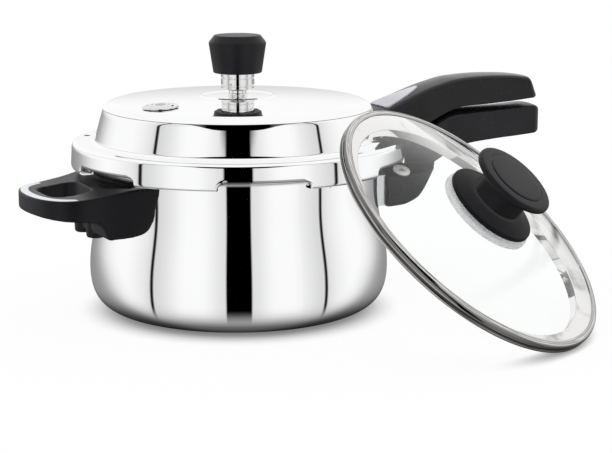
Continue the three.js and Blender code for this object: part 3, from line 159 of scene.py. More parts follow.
def mirror_steel(name, low, high, painted_shade=""):
    """Polished steel; where an attribute is given and set, the colour is darkened there as painted shade."""
    material, tree, shader = fresh_material(name, METAL)
    cloud = noise(tree, 14, 4)
    colour = two_tones(tree, cloud, low, high)
    if painted_shade:
        mark = node(tree, "ShaderNodeAttribute", attribute_name=painted_shade)
        # Painted shade where the attribute is set.
        colour = blend(tree, mark.outputs["Fac"], colour, two_tones(tree, cloud, *LIP_SHADE_TONES))
    wipe = noise(tree, 1, 3, stretch=WIPE_STRETCH)
    ripple = relief(tree, noise(tree, 55, 2), 0.006, 0.0004)
    feed(shader, {"Base Color": colour, "Roughness": spread(tree, wipe, 0.012, 0.03), "Normal": ripple})
    return material


def rolled_steel(place):
    """Rolled rim band: along its height, painted shade darkens its grooves and painted highlights brighten its
    crests.
    """
    material, tree, shader = fresh_material("rolled_rim_steel", METAL)
    apart = vector_maths(tree, "SUBTRACT", object_coords(tree), place.translation * MM)["Vector"]
    along = vector_maths(tree, "DOT_PRODUCT", apart, place.to_3x3() @ Vector((0, 0, 1)))["Value"]
    level = spread(tree, along, 0.0, 1.0, *RIM_BAND)
    uneven = spread(tree, noise(tree, 40, 3), -0.02, 0.02)
    # Painted light and shade: the steel's colour follows the rim's height.
    tones = [(at, (tone, tone * 0.985, tone * 0.965, 1)) for at, tone in RIM_PAINTED_BANDS]
    wipe = noise(tree, 1, 3, stretch=WIPE_STRETCH)
    feed(shader, {
        "Base Color": shades(tree, maths(tree, "ADD", level, uneven), tones),
        "Roughness": spread(tree, wipe, 0.02, 0.06),
    })
    return material


def moulded_black(name, low, high, rough, shine):
    return finish(
        name, {"Specular IOR Level": shine}, (30, 4, 0.6), (low, low, low + 0.001), (high, high, high + 0.002),
        rough, (0.06, 0.0002), (1500, 2, 0.6),
    )


def silver_coat(name, start, end):
    """Satin silver lacquer with painted shade: a darker copy of the silver turns into a lighter one between two
    places along X.
    """
    material, tree, shader = fresh_material(name, {"Metallic": 0.3})
    flakes = noise(tree, 2600, 2, 0.6)
    split = node(tree, "ShaderNodeSeparateXYZ", {0: object_coords(tree)})
    share = spread(tree, split.outputs["X"], 0.0, 1.0, start, end)
    shaded_silver = two_tones(tree, flakes, (0.50, 0.50, 0.55), (0.56, 0.56, 0.61))
    lit_silver = two_tones(tree, flakes, (0.76, 0.77, 0.81), (0.82, 0.83, 0.86))
    feed(shader, {"Base Color": blend(tree, share, shaded_silver, lit_silver), "Roughness": spread(tree, flakes, 0.30, 0.4)})
    return material


STEEL_TONES = ((0.945, 0.946, 0.95), (0.965, 0.966, 0.97))
STEEL = mirror_steel("mirror_steel", *STEEL_TONES)
# The lid's steel takes painted shade on the rolled lip of its notches.
LID_STEEL = mirror_steel("lid_steel", *STEEL_TONES, "lip_painted_shade")
PLUG_STEEL = mirror_steel("plug_steel", (0.70, 0.70, 0.705), (0.80, 0.80, 0.805))
WEIGHT_STEEL = mirror_steel("weight_steel", (0.74, 0.735, 0.73), (0.82, 0.815, 0.81))
BRUSHED = finish(
    "brushed_steel", METAL, (1, 3, 0.5, (900, 900, 60)), (0.62, 0.625, 0.64), (0.76, 0.765, 0.775),
    (0.16, 0.3), (0.06, 0.0002),
)
NICKEL = finish("bright_nickel", {"Metallic": 0.1}, (900, 3), (0.88, 0.87, 0.85), (0.95, 0.94, 0.92), (0.22, 0.32))
BLACK = moulded_black("moulded_black", 0.006, 0.010, (0.21, 0.28), 0.28)
HELPER_BLACK = moulded_black("helper_black", 0.004, 0.007, (0.32, 0.40), 0.17)
KNOB_BLACK = moulded_black("knob_black", 0.006, 0.010, (0.36, 0.44), 0.14)
FLANGE_BLACK = moulded_black("knob_flange_black", 0.003, 0.006, (0.45, 0.55), 0.12)
CAP_BLACK = moulded_black("weight_cap_black", 0.007, 0.011, (0.34, 0.42), 0.2)
# The leaf is darker towards the lid and the strip towards the pot, as painted shade.
LEAF_SILVER = silver_coat("leaf_silver", 0.118, 0.150)
STRIP_SILVER = silver_coat("strip_silver", -0.124, -0.136)
RUBBER = finish(
    "seal_rubber", {}, (120, 4, 0.6), (0.03, 0.03, 0.03), (0.06, 0.06, 0.06), (0.6, 0.8), (0.1, 0.0002), (1800, 2),
)
ALLOY = finish(
    "fuse_alloy", METAL, (700, 4, 0.6), (0.50, 0.49, 0.47), (0.62, 0.61, 0.585), (0.3, 0.5), (0.12, 0.0003),
)
SILICONE = finish(
    "clear_silicone", {"Transmission Weight": 0.45, "IOR": 1.41}, (160, 3), (0.82, 0.82, 0.82), (0.92, 0.92, 0.92),
    (0.35, 0.5),
)
GLASS = finish(
    "lid_glass", {"Transmission Weight": 1, "IOR": 1.22}, (9, 2), (0.985, 0.99, 0.992), (0.99, 0.995, 0.997),
    (0.0, 0.004),
)


# Mesh helpers

def bend(start, corner, end, turns):
    """A curve from start to end that leans towards the corner."""
    path = []
    for k in range(turns + 1):
        t = k / turns
        path.append(start * (1 - t) ** 2 + corner * 2 * t * (1 - t) + end * t * t)
    return path


def rounded_path(corners, turns=8):
    """A line through (x, y, rounding) corners; each corner is rounded by that distance."""
    path = []
    for i, corner in enumerate(corners):
        here = Vector(corner[:2])
        ease = corner[2] if len(corner) > 2 else 0
        if not ease or i in (0, len(corners) - 1):
            path.append(here)
            continue
        start = here + (Vector(corners[i - 1][:2]) - here).normalized() * ease
        end = here + (Vector(corners[i + 1][:2]) - here).normalized() * ease
        path += bend(start, here, end, turns)
    return path


def bezier(a, b, c, d, turns):
    points = [Vector(p) for p in (a, b, c, d)]
    path = []
    for k in range(1, turns + 1):
        t = k / turns
        u = 1 - t
        parts = (u ** 3, 3 * u * u * t, 3 * u * t * t, t ** 3)
        path.append(sum((p * w for p, w in zip(points, parts)), Vector((0, 0))))
    return path


def closer(path, most=3.0):
    """The same line with long stretches divided, so that the shading stays even."""
    fine = [path[0]]
    for here, there in zip(path, path[1:]):
        count = max(1, math.ceil((there - here).length / most))
        fine += [here.lerp(there, k / count) for k in range(1, count + 1)]
    return fine


def held(path, hold=0.3, least=1.6):
    """The same line with a point close to each end of its long stretches, so that they shade as flat."""
    kept = [path[0]]
    for here, there in zip(path, path[1:]):
        away = there - here
        if away.length > least:
            kept += [here + away.normalized() * hold, there - away.normalized() * hold]
        kept.append(there)
    return kept


def beside(path, distance):
    """The line moved sideways; positive is to the left of its direction."""
    moved = []
    for i, here in enumerate(path):
        into = (here - path[max(i - 1, 0)]) if i else (path[1] - here)
        out = (path[min(i + 1, len(path) - 1)] - here) if i < len(path) - 1 else into
        into, out = into.normalized(), out.normalized()
        left = Vector((-into.y - out.y, into.x + out.x)).normalized()
        reach = max(left.dot(Vector((-into.y, into.x))), 0.5)
        moved.append(here + left * (distance / reach))
    return moved


def piece(name, verts, faces, place=None):
    """A mesh object from points in millimetres, its faces turned outwards."""
    mesh = bpy.data.meshes.new(name)
    mesh.from_pydata([tuple(v) for v in verts], [], faces)
    if place is not None:
        mesh.transform(place)
    mesh.transform(Matrix.Scale(MM, 4))
    shaped = bmesh.new()
    shaped.from_mesh(mesh)
    bmesh.ops.recalc_face_normals(shaped, faces=shaped.faces)
    shaped.to_mesh(mesh)
    shaped.free()
    made = bpy.data.objects.new(name, mesh)
    scene.collection.objects.link(made)
    return made


def spun(name, outline, steps=ROUND_STEPS, ring=False, place=None, angles=None, reach=None):
    """An outline of radius and height, spun round the Z axis. A ring's outline closes on itself."""
    angles = angles or [math.tau * k / steps for k in range(steps)]
    count = len(angles)
    verts, rows, faces = [], [], []
    for radius, height in outline:
        if radius < 1e-6:
            rows.append([len(verts)] * count)
            verts.append((0, 0, height))
            continue
        rows.append(list(range(len(verts), len(verts) + count)))
        for angle in angles:
            r = reach(radius, height, angle) if reach else radius
            verts.append((r * math.cos(angle), r * math.sin(angle), height))
    pairs = list(zip(rows, rows[1:]))
    if ring:
        pairs.append((rows[-1], rows[0]))
    for low, high in pairs:
        for k in range(count):
            after = (k + 1) % count
            corners = list(dict.fromkeys((low[k], low[after], high[after], high[k])))
            if len(corners) > 2:
                faces.append(corners)
    return piece(name, verts, faces, place)


def ring_faces(rings, count, wrapped=False):
    """Faces between rings of points. Wrapped rings end at the first one; others get end faces."""
    faces = []
    for k in range(rings if wrapped else rings - 1):
        here, there = k * count, (k + 1) % rings * count
        for i in range(count):
            j = (i + 1) % count
            faces.append([here + i, here + j, there + j, there + i])
    if not wrapped:
        faces += [list(range(count))[::-1], list(range((rings - 1) * count, rings * count))]
    return faces


def arc(name, outline, first, last, steps):
    """A closed outline of radius and height, swept from one angle to another."""
    verts = []
    for k in range(steps + 1):
        angle = math.radians(first + (last - first) * k / steps)
        verts += [(r * math.cos(angle), r * math.sin(angle), z) for r, z in outline]
    return piece(name, verts, ring_faces(steps + 1, len(outline)))


def prism(name, outline, bottom, top, place=None):
    """A flat outline raised from one height to another."""
    count = len(outline)
    verts = [(x, y, bottom) for x, y in outline] + [(x, y, top) for x, y in outline]
    faces = [list(range(count))[::-1], list(range(count, 2 * count))]
    faces += [[k, (k + 1) % count, count + (k + 1) % count, count + k] for k in range(count)]
    return piece(name, verts, faces, place)


def applied(made):
    """Turns the modifiers' result into the object's own mesh."""
    graph = bpy.context.evaluated_depsgraph_get()
    result = bpy.data.meshes.new_from_object(made.evaluated_get(graph))
    old = made.data
    made.modifiers.clear()
    made.data = result
    bpy.data.meshes.remove(old)
    result.name = made.name
    return made


def cut(made, cutters, operation="DIFFERENCE"):
    """Cuts the cutters out of a piece and removes them."""
    for cutter in cutters:
        step = made.modifiers.new("cut", "BOOLEAN")
        step.operation = operation
        step.solver = "EXACT"
        step.object = cutter
        applied(made)
        old = cutter.data
        bpy.data.objects.remove(cutter)
        bpy.data.meshes.remove(old)
    return made


def moulded(made, voxel=0.7, rounds=6):
    """Melts the piece's edges as a mould does."""
    step = made.modifiers.new("skin", "REMESH")
    step.mode = "VOXEL"
    step.voxel_size = voxel * MM
    ease = made.modifiers.new("ease", "SMOOTH")
    ease.factor = 0.5
    ease.iterations = rounds
    return applied(made)


def dressed(made, material, body, slot, *replaced, sharp=35):
    """Gives a piece its finish, its body and the solids that it stands for."""
    mesh = made.data
    mesh.materials.clear()
    mesh.materials.append(material)
    mesh.shade_smooth()
    if sharp:
        mesh.set_sharp_from_angle(angle=math.radians(sharp))
    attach(made, body)
    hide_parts(*replaced)
    return made


def catmull(rows, steps):
    """Smooth rows through the given ones, evenly spread over them."""
    smooth = []
    last = len(rows) - 1
    for k in range(steps + 1):
        at = last * k / steps
        i = min(int(at), last - 1)
        t = at - i
        p0, p1, p2, p3 = (rows[min(max(i + j, 0), last)] for j in (-1, 0, 1, 2))
        row = []
        for a, b, c, d in zip(p0, p1, p2, p3):
            va, vb = (c - a) / 2, (d - b) / 2
            row.append((2 * b - 2 * c + va + vb) * t ** 3 + (3 * c - 3 * b - 2 * va - vb) * t * t + va * t + b)
        smooth.append(row)
    return smooth


# Screws, by geometry nodes

HEAD_RADIUS = 6.2
HEAD_HEIGHT = 2.4
SCREW_SIZES = {
    "Head Radius": HEAD_RADIUS, "Head Height": HEAD_HEIGHT, "Crown": 0.9, "Shank Radius": 2.0, "Shank Length": 12.0,
    "Recess Length": 7.0, "Recess Width": 2.6,
}
RECESS_TURNS = (math.radians(20), math.radians(110))
HEAD_SIDES = 40
SHANK_SIDES = 16


def screw_tree():
    """A pan head with a cross recess and a shank, set on every point along its own axis."""
    tree = bpy.data.node_groups.new("cross_recess_screws", "GeometryNodeTree")
    sockets = tree.interface
    sockets.new_socket("Geometry", in_out="INPUT", socket_type="NodeSocketGeometry")
    for label, size in SCREW_SIZES.items():
        sockets.new_socket(label, in_out="INPUT", socket_type="NodeSocketFloat").default_value = size * MM
    sockets.new_socket("Finish", in_out="INPUT", socket_type="NodeSocketMaterial")
    sockets.new_socket("Geometry", in_out="OUTPUT", socket_type="NodeSocketGeometry")
    given, out = node(tree, "NodeGroupInput"), node(tree, "NodeGroupOutput")
    points, radius, height, crown, shank_radius, length, bar_length, bar_width, finish_given = given.outputs[:9]

    def m(operation, *values):
        return maths(tree, operation, *values)

    def made(kind, values=None, **settings):
        return node(tree, kind, values, **settings).outputs[0]

    def moved(geometry, z, turn=0.0):
        shift = made("ShaderNodeCombineXYZ", {"Z": z})
        return made("GeometryNodeTransform", {"Geometry": geometry, "Translation": shift, "Rotation": (0, 0, turn)})

    def barrel(across, depth, sides):
        values = {"Vertices": sides, "Fill Segments": 6, "Radius": across, "Depth": depth}
        return made("GeometryNodeMeshCylinder", values)

    def attribute(name):
        found = node(tree, "GeometryNodeInputNamedAttribute", {"Name": name}, data_type="FLOAT_VECTOR")
        return found.outputs["Attribute"]

    side = m("SUBTRACT", height, crown)
    middle = m("ADD", m("MULTIPLY", side, 0.5), crown)
    head = moved(barrel(radius, side, HEAD_SIDES), m("MULTIPLY", middle, -1.0))
    x, y, z = node(tree, "ShaderNodeSeparateXYZ", {0: made("GeometryNodeInputPosition")}).outputs
    away = m("SQRT", m("ADD", m("POWER", x, 2.0), m("POWER", y, 2.0)))
    part = m("POWER", m("DIVIDE", away, radius), 2.0)
    lift = m("MULTIPLY", crown, m("SUBTRACT", 1.0, part))
    above = m("GREATER_THAN", z, m("MULTIPLY", crown, -1.001))
    rise = made("ShaderNodeCombineXYZ", {"Z": m("MULTIPLY", lift, above)})
    domed = made("GeometryNodeSetPosition", {"Geometry": head, "Offset": rise})
    bar_size = made("ShaderNodeCombineXYZ", {"X": bar_length, "Y": bar_width, "Z": height})
    bar = made("GeometryNodeMeshCube", {"Size": bar_size})
    zero = m("MULTIPLY", height, 0.0)
    recess = node(tree, "GeometryNodeMeshBoolean", {"Mesh 1": domed}, operation="DIFFERENCE")
    for turn in RECESS_TURNS:
        feed(recess, {"Mesh 2": moved(bar, zero, turn)})
    depth = m("ADD", height, m("MULTIPLY", length, 0.5))
    shank = moved(barrel(shank_radius, length, SHANK_SIDES), m("MULTIPLY", depth, -1.0))
    whole = node(tree, "GeometryNodeJoinGeometry", {0: recess.outputs["Mesh"]})
    feed(whole, {0: shank})
    facing = made("FunctionNodeAlignRotationToVector", {"Vector": attribute("screw_axis")}, axis="Z")
    copies = made("GeometryNodeInstanceOnPoints", {
        "Points": points, "Instance": whole.outputs[0], "Rotation": facing, "Scale": attribute("screw_size"),
    })
    real = made("GeometryNodeRealizeInstances", {0: copies})
    feed(out, {0: made("GeometryNodeSetMaterial", {"Geometry": real, "Material": finish_given})})
    return tree


SCREW_TREE = screw_tree()


def screws(name, body, places, replaced):
    """Screws of one body: each place is a head's top, its outward axis, its radius and its height."""
    mesh = bpy.data.meshes.new(name)
    mesh.from_pydata([tuple(Vector(at) * MM) for at, *_ in places], [], [])
    axes = mesh.attributes.new("screw_axis", "FLOAT_VECTOR", "POINT")
    sizes = mesh.attributes.new("screw_size", "FLOAT_VECTOR", "POINT")
    for k, (at, axis, radius, height) in enumerate(places):
        axes.data[k].vector = Vector(axis).normalized()
        sizes.data[k].vector = (radius / HEAD_RADIUS, radius / HEAD_RADIUS, height / HEAD_HEIGHT)
    made = bpy.data.objects.new(name, mesh)
    scene.collection.objects.link(made)
    step = made.modifiers.new("screws", "NODES")
    step.node_group = SCREW_TREE
    values = {"Finish": NICKEL, **{label: size * MM for label, size in SCREW_SIZES.items()}}
    for item in SCREW_TREE.interface.items_tree:
        if item.in_out == "INPUT" and item.name in values:
            step[item.identifier] = values[item.name]
    applied(made)
    return dressed(made, NICKEL, body, "polished_steel", *replaced, sharp=30)


# Pot

BASE_RADIUS = 68.0
BELLY = (102.0, 31.0)
NECK_RADIUS = 95.0
NECK_BOTTOM = 84.0
NECK_TOP = 97.5
RIM_TOP = 104.5
RIM_BOTTOM = RIM_TOP - SHEET
RIM_LUG_RADIUS = 109.2
RIM_GAP_RADIUS = 102.4
LUG_COUNT = 6
LUG_PITCH = 60.0
RIM_LUG_ANGLE = 29.5
RIM_GAP_HALF_ANGLE = (LUG_PITCH - RIM_LUG_ANGLE) / 2
RIM_STEP_ANGLE = 0.12
FIRST_NOTCH_ANGLE = -106.2

neck = (NECK_RADIUS, NECK_BOTTOM)
neck_top = (NECK_RADIUS, NECK_TOP)
pot_outside = [Vector((r, 0)) for r in (0, 20, 45, 60, BASE_RADIUS)]
pot_outside += bezier((BASE_RADIUS, 0), (95, 0), (BELLY[0], 11), BELLY, 28)
pot_outside += bezier(BELLY, (BELLY[0], 51), (NECK_RADIUS, 62), neck, 28)
pot_outside += closer([Vector(neck), Vector(neck_top)], 2.0)[1:]
pot_outside += rounded_path([neck_top, (NECK_RADIUS, RIM_BOTTOM, 5), (RIM_LUG_RADIUS, RIM_BOTTOM)], 10)[1:]


def from_notch(angle):
    """Degrees between an angle and the middle of the nearest notch."""
    turn = (math.degrees(angle) - FIRST_NOTCH_ANGLE) % LUG_PITCH
    return min(turn, LUG_PITCH - turn)


def rim_reach(radius, height, angle):
    """The rim stands out to its full reach at the lugs only."""
    if height < RIM_BOTTOM - 0.01 or radius < RIM_GAP_RADIUS:
        return radius
    return radius if from_notch(angle) > RIM_GAP_HALF_ANGLE else RIM_GAP_RADIUS


def angles_with(steps, offsets):
    """Even angles round the axis, and those that lie at some offsets, in degrees, to both sides of each notch."""
    angles = {round(math.tau * k / steps, 6) for k in range(steps)}
    for k in range(LUG_COUNT):
        for side in (-1, 1):
            for offset in offsets:
                angle = math.radians(FIRST_NOTCH_ANGLE + k * LUG_PITCH + side * offset)
                angles.add(round(angle % math.tau, 6))
    return sorted(angles)


rim_angles = angles_with(FINE_STEPS, [RIM_GAP_HALF_ANGLE - RIM_STEP_ANGLE, RIM_GAP_HALF_ANGLE + RIM_STEP_ANGLE])
pot_inside = beside(pot_outside, SHEET)
pot_inside[0] = Vector((0, SHEET))
pot_shell = spun("pot_shell_polished", pot_outside + pot_inside[::-1], angles=rim_angles, reach=rim_reach)
dressed(pot_shell, STEEL, "pot", "polished_steel", "pot_shell")


# Lid

LID_TOP = 146.3
CROWN_DROP = 3.1
CROWN_RADIUS = 80.0
CROWN_END = 83.0
CROWN_EDGE = (90.1, 142.4)
CROWN_RING_RADIUS = 24.3
CROWN_RING_HALF_WIDTH = 2.4
CROWN_RING_HEIGHT = 0.5
WALL_TOP = (92.15, 135.2)
WALL_BOTTOM_RADIUS = 97.4
LEDGE_HEIGHT = 116.4
LEDGE_CORNER = 2.7
SKIRT_TOP_RADIUS = 112.4
SKIRT_RADIUS = 113.4
SKIRT_BOTTOM = 99.0
SKIRT_START = 112.2
SKIRT_CORNER = 3.4
LUG_TIP_RADIUS = 103.6
LUG_TIP_CORNER = 0.7
NOTCH_TOP = 104.2
NOTCH_HALF_ANGLE = 15.7
NOTCH_EASE = 3.8
NOTCH_STEPS = 9
LID_STEPS = 180
LIP_STEPS = 64
BEAD = 1.7
BEAD_STEPS = 24
VENT_HOLE = 4.3


def crown_height(radius):
    ring = max(0.0, 1 - abs(radius - CROWN_RING_RADIUS) / CROWN_RING_HALF_WIDTH)
    bulge = CROWN_RING_HEIGHT * ring * ring * (3 - 2 * ring)
    return LID_TOP - CROWN_DROP * (radius / CROWN_RADIUS) ** 2 + bulge


def skirt_radius(height):
    share = (LEDGE_HEIGHT - height) / (LEDGE_HEIGHT - SKIRT_BOTTOM)
    return SKIRT_TOP_RADIUS + (SKIRT_RADIUS - SKIRT_TOP_RADIUS) * share


def evenly(path, count):
    """The same line with that many points, evenly spaced along it."""
    lengths = [0.0]
    for here, there in zip(path, path[1:]):
        lengths.append(lengths[-1] + (there - here).length)
    spaced, i = [], 0
    for k in range(count):
        at = lengths[-1] * k / (count - 1)
        while i < len(path) - 2 and lengths[i + 1] < at:
            i += 1
        share = (at - lengths[i]) / max(lengths[i + 1] - lengths[i], 1e-9)
        spaced.append(path[i].lerp(path[i + 1], min(share, 1.0)))
    return spaced


crown_radii = [VENT_HOLE, 8, 12, 16, 19, 20.5, 21.5]
crown_radii += [21.9 + 0.24 * k for k in range(21)]
crown_radii += [28, 32, 38, 45, 52, 59, 66, 72, 78, 82]
lid_outside = [Vector((r, crown_height(r))) for r in crown_radii]
crown_end = Vector((CROWN_END, crown_height(CROWN_END)))
lid_outside += bend(crown_end, Vector(CROWN_EDGE), Vector(WALL_TOP), 18)
lid_outside += rounded_path([
    WALL_TOP, (WALL_BOTTOM_RADIUS, LEDGE_HEIGHT, LEDGE_CORNER), (SKIRT_TOP_RADIUS, LEDGE_HEIGHT, SKIRT_CORNER),
    (skirt_radius(SKIRT_START), SKIRT_START),
], 14)[1:]
lid_outside = closer(held(lid_outside), 4.0)
lid_inside = beside(lid_outside, -SHEET)
lip_start, lip_end = lid_outside[-1], lid_inside[-1]

lug_top = SKIRT_BOTTOM + SHEET
turned_in = evenly(rounded_path([
    lip_start, (SKIRT_RADIUS, SKIRT_BOTTOM, SKIRT_CORNER), (LUG_TIP_RADIUS, SKIRT_BOTTOM, LUG_TIP_CORNER),
    (LUG_TIP_RADIUS, lug_top, LUG_TIP_CORNER), (SKIRT_RADIUS - SHEET - 0.1, lug_top, 2.0), lip_end,
], 12), LIP_STEPS)
bead_at = Vector((skirt_radius(NOTCH_TOP + BEAD) - BEAD, NOTCH_TOP + BEAD))
bead_turns = [math.radians(3 - 200 * k / BEAD_STEPS) for k in range(BEAD_STEPS + 1)]
bead = [bead_at + BEAD * Vector((math.cos(turn), math.sin(turn))) for turn in bead_turns]
rolled = evenly([lip_start, *bead, lip_end], LIP_STEPS)
on_bead = [(point - bead_at).length < BEAD + 0.05 for point in rolled]


def notch_share(angle):
    """1 in the middle of a notch, 0 at a lug, with an eased change between them."""
    share = min(max((NOTCH_HALF_ANGLE - from_notch(angle)) / NOTCH_EASE, 0.0), 1.0)
    return math.sqrt(1 - (1 - share) ** 2)


notch_offsets = [NOTCH_HALF_ANGLE - NOTCH_EASE * (k / (NOTCH_STEPS - 1)) ** 2 for k in range(NOTCH_STEPS)]
lid_angles = angles_with(LID_STEPS, notch_offsets)
lid_verts, lid_painted_shade = [], []
above_lip, below_lip = lid_outside[:-1], lid_inside[:-1][::-1]
for angle in lid_angles:
    share = notch_share(angle)
    lip = [a.lerp(b, share) for a, b in zip(turned_in, rolled)]
    for radius, height in above_lip + lip + below_lip:
        lid_verts.append((radius * math.cos(angle), radius * math.sin(angle), height))
    # The rolled bead in each notch is marked for painted shade.
    painted_shade = [min(1.0, 4 * share) if rolled_up else 0.0 for rolled_up in on_bead]
    lid_painted_shade += [0.0] * len(above_lip) + painted_shade + [0.0] * len(below_lip)
lid_rings = len(lid_angles)
lid_shell = piece("lid_shell_polished", lid_verts, ring_faces(lid_rings, len(lid_verts) // lid_rings, True))
lid_shell.data.attributes.new("lip_painted_shade", "FLOAT", "POINT").data.foreach_set("value", lid_painted_shade)


PLUG_REACH = 69.0
PLUG_ANGLE = 198.4
PLUG_HOLE = 6.3
WINDOW_REACH = 105.5
WINDOW_ANGLE = 145.4
WINDOW_RADIUS = 2.3
plug_place = (
    Matrix.Rotation(math.radians(PLUG_ANGLE), 4, "Z")
    @ Matrix.Translation((PLUG_REACH, 0, crown_height(PLUG_REACH)))
    @ Matrix.Rotation(math.atan(2 * CROWN_DROP * PLUG_REACH / CROWN_RADIUS ** 2), 4, "Y")
)
window_place = Matrix.Rotation(math.radians(WINDOW_ANGLE), 4, "Z") @ Matrix.Translation((WINDOW_REACH, 0, 0))


def drill(name, radius, low, high, place, steps=32):
    return spun(name, [(0, low), (radius, low), (radius, high), (0, high)], steps, place=place)


cut(lid_shell, [
    drill("plug_hole", PLUG_HOLE, -6, 2, plug_place),
    drill("seal_window", WINDOW_RADIUS, 112, 119, window_place),
])
dressed(lid_shell, LID_STEEL, "lid", "polished_steel", "lid_shell", sharp=30)


# Vent pipe, safety plug and weight

VENT_SEAT = LID_TOP + FIT_GAP
COLLAR_TOP = 149.8
PIPE_TOP = 160.0
vent_pipe = spun("vent_pipe_turned", rounded_path([
    (1.4, 134), (4, 134, 0.6), (4, VENT_SEAT), (6.5, VENT_SEAT), (6.5, VENT_SEAT + 1.1, 0.3),
    (6.0, VENT_SEAT + 1.3, 0.1), (5.9, COLLAR_TOP, 0.2), (3.8, COLLAR_TOP), (3.8, PIPE_TOP, 1.0), (1.4, PIPE_TOP),
], 4), 64, ring=True)
dressed(vent_pipe, WEIGHT_STEEL, "lid", "polished_steel", "vent_pipe")

PLUG_BOTTOM = -11.0
safety_plug = spun("safety_plug_turned", rounded_path([
    (3.5, PLUG_BOTTOM), (6, PLUG_BOTTOM, 0.5), (6, FIT_GAP), (12.1, FIT_GAP, 0.2), (12.1, 0.9, 0.25),
    (11.0, 1.5, 0.3), (9.9, 1.5, 0.2), (9.3, 0.7, 0.2), (8.7, 1.5, 0.2), (8.2, 1.9, 0.2), (7.4, 2.1, 0.3),
    (6.2, 2.1, 0.2), (5.8, 1.4, 0.2), (5.4, 2.1, 0.2), (3.5, 2.1),
], 5), 80, ring=True, place=plug_place)
dressed(safety_plug, PLUG_STEEL, "lid", "polished_steel", "safety_plug", sharp=50)
plug_core = spun("safety_plug_core_cast", rounded_path([
    (0, PLUG_BOTTOM), (3.2, PLUG_BOTTOM), (3.2, 2.4, 0.6), (0, 2.55),
], 5), 48, place=plug_place)
dressed(plug_core, ALLOY, "lid", "fuse_alloy", "safety_plug_core", sharp=50)

WEIGHT_RADIUS = 11.3
GROOVE_RADIUS = WEIGHT_RADIUS - 1.1
WEIGHT_BOTTOM = 150.4
WEIGHT_TOP = 162.4
PEG_TOP = 178.0
weight_outline = [
    (0, 160.8), (4.1, 160.8), (4.1, WEIGHT_BOTTOM), (WEIGHT_RADIUS - 0.5, WEIGHT_BOTTOM, 0.2),
    (WEIGHT_RADIUS, 150.9, 0.2),
]
for low, high in ((152.5, 153.2), (157.9, 158.6)):
    weight_outline += [
        (WEIGHT_RADIUS, low, 0.15), (GROOVE_RADIUS, low), (GROOVE_RADIUS, high), (WEIGHT_RADIUS, high, 0.15),
    ]
weight_outline += [(WEIGHT_RADIUS, WEIGHT_TOP, 0.3), (6, WEIGHT_TOP), (6, PEG_TOP), (0, PEG_TOP)]
weight_body = spun("weight_body_turned", rounded_path(weight_outline, 4))
dressed(weight_body, WEIGHT_STEEL, "weight", "polished_steel", "weight_body", sharp=40)
socket_top, cap_seat = PEG_TOP + FIT_GAP, WEIGHT_TOP + FIT_GAP
weight_cap = spun("weight_cap_moulded", rounded_path([
    (0, socket_top), (6.3, socket_top), (6.3, cap_seat), (11.7, cap_seat), (11.7, 161.5), (16.4, 161.5, 0.9),
    (19.5, 182, 1.0), (15.6, 186.9, 0.8), (0, 187),
], 8))
dressed(weight_cap, CAP_BLACK, "weight", "black_bakelite", "weight_cap", sharp=50)


# Long handles

LID_HANDLE_END = 236.0
LID_HANDLE_CROWN = 1.4
LID_HANDLE_SLANT = 5.0
BODY_HANDLE_END = 238.0
# Rows of x, half width, underside and top.
LID_HANDLE_ROWS = [
    (86, 18, 118.2, 126), (106, 17.6, 118.2, 131.5), (123, 16.5, 118.2, 138), (140, 15.2, 118.5, 144),
    (153, 15, 124.2, 147.6), (168, 14.8, 129.4, 150.6), (191, 14.6, 130.3, 151.6), (214, 14.4, 131.4, 150.7),
    (230, 14.2, 132.5, 149),
]
BODY_HANDLE_ROWS = [
    (106, 23, 63.7, 117), (114, 23, 64, 117), (122, 22.6, 65, 117), (131.5, 21.6, 69, 117),
    (138, 20.4, 76.2, 117), (145, 18.8, 86.4, 117.2), (152, 17.2, 92.2, 120.2), (162, 15.8, 98.1, 123.3),
    (174.5, 15.2, 102.5, 124), (198, 14.8, 104.6, 125), (218, 14.6, 105.6, 126.2), (232, 14.2, 106.4, 127),
]
HANDLE_STEPS = 90
END_STEPS = 8
END_INSET = 5.0
SLANT_REACH = 30.0


def handle_rows(rows, end):
    """Smooth rows, with a rounded end."""
    smooth = catmull(rows, HANDLE_STEPS)
    start, half, under, top = smooth[-1]
    for k in range(1, END_STEPS + 1):
        turn = math.pi / 2 * k / END_STEPS
        inset = END_INSET * (1 - math.cos(turn))
        smooth.append([start + (end - start) * math.sin(turn), half - inset, under + inset / 2, top - inset])
    return smooth


def handle_loft(name, rows, end, high, low, drop, slant=0.0):
    """A bar through rows; high and low round its edges, drop(x) lowers the sides of its top, slant cuts its end."""
    verts, rings = [], 0
    for x, half, under, top in handle_rows(rows, end):
        ring = []
        for side, corner, level, start in (
            (1, low, under + low, -90), (1, high, top - high, 0),
            (-1, high, top - high, 90), (-1, low, under + low, 180),
        ):
            for k in range(7):
                angle = math.radians(start + 15 * k)
                ring.append((side * (half - corner) + corner * math.cos(angle), level + corner * math.sin(angle)))
            if start in (0, 180):
                ring += [(side * (half - corner) * (1 - k / 4), top if start == 0 else under) for k in range(1, 8)]
        ease = min(max((x - end + SLANT_REACH) / SLANT_REACH, 0.0), 1.0)
        for y, z in ring:
            share = (z - under) / (top - under)
            verts.append((x - slant * ease * ease * share, y, z - drop(x) * (y / half) ** 2 * share))
        rings += 1
    return piece(name, verts, ring_faces(rings, len(verts) // rings))


def block(name, x0, x1, half, bottom, top):
    return prism(name, [(x0, -half), (x1, -half), (x1, half), (x0, half)], bottom, top)


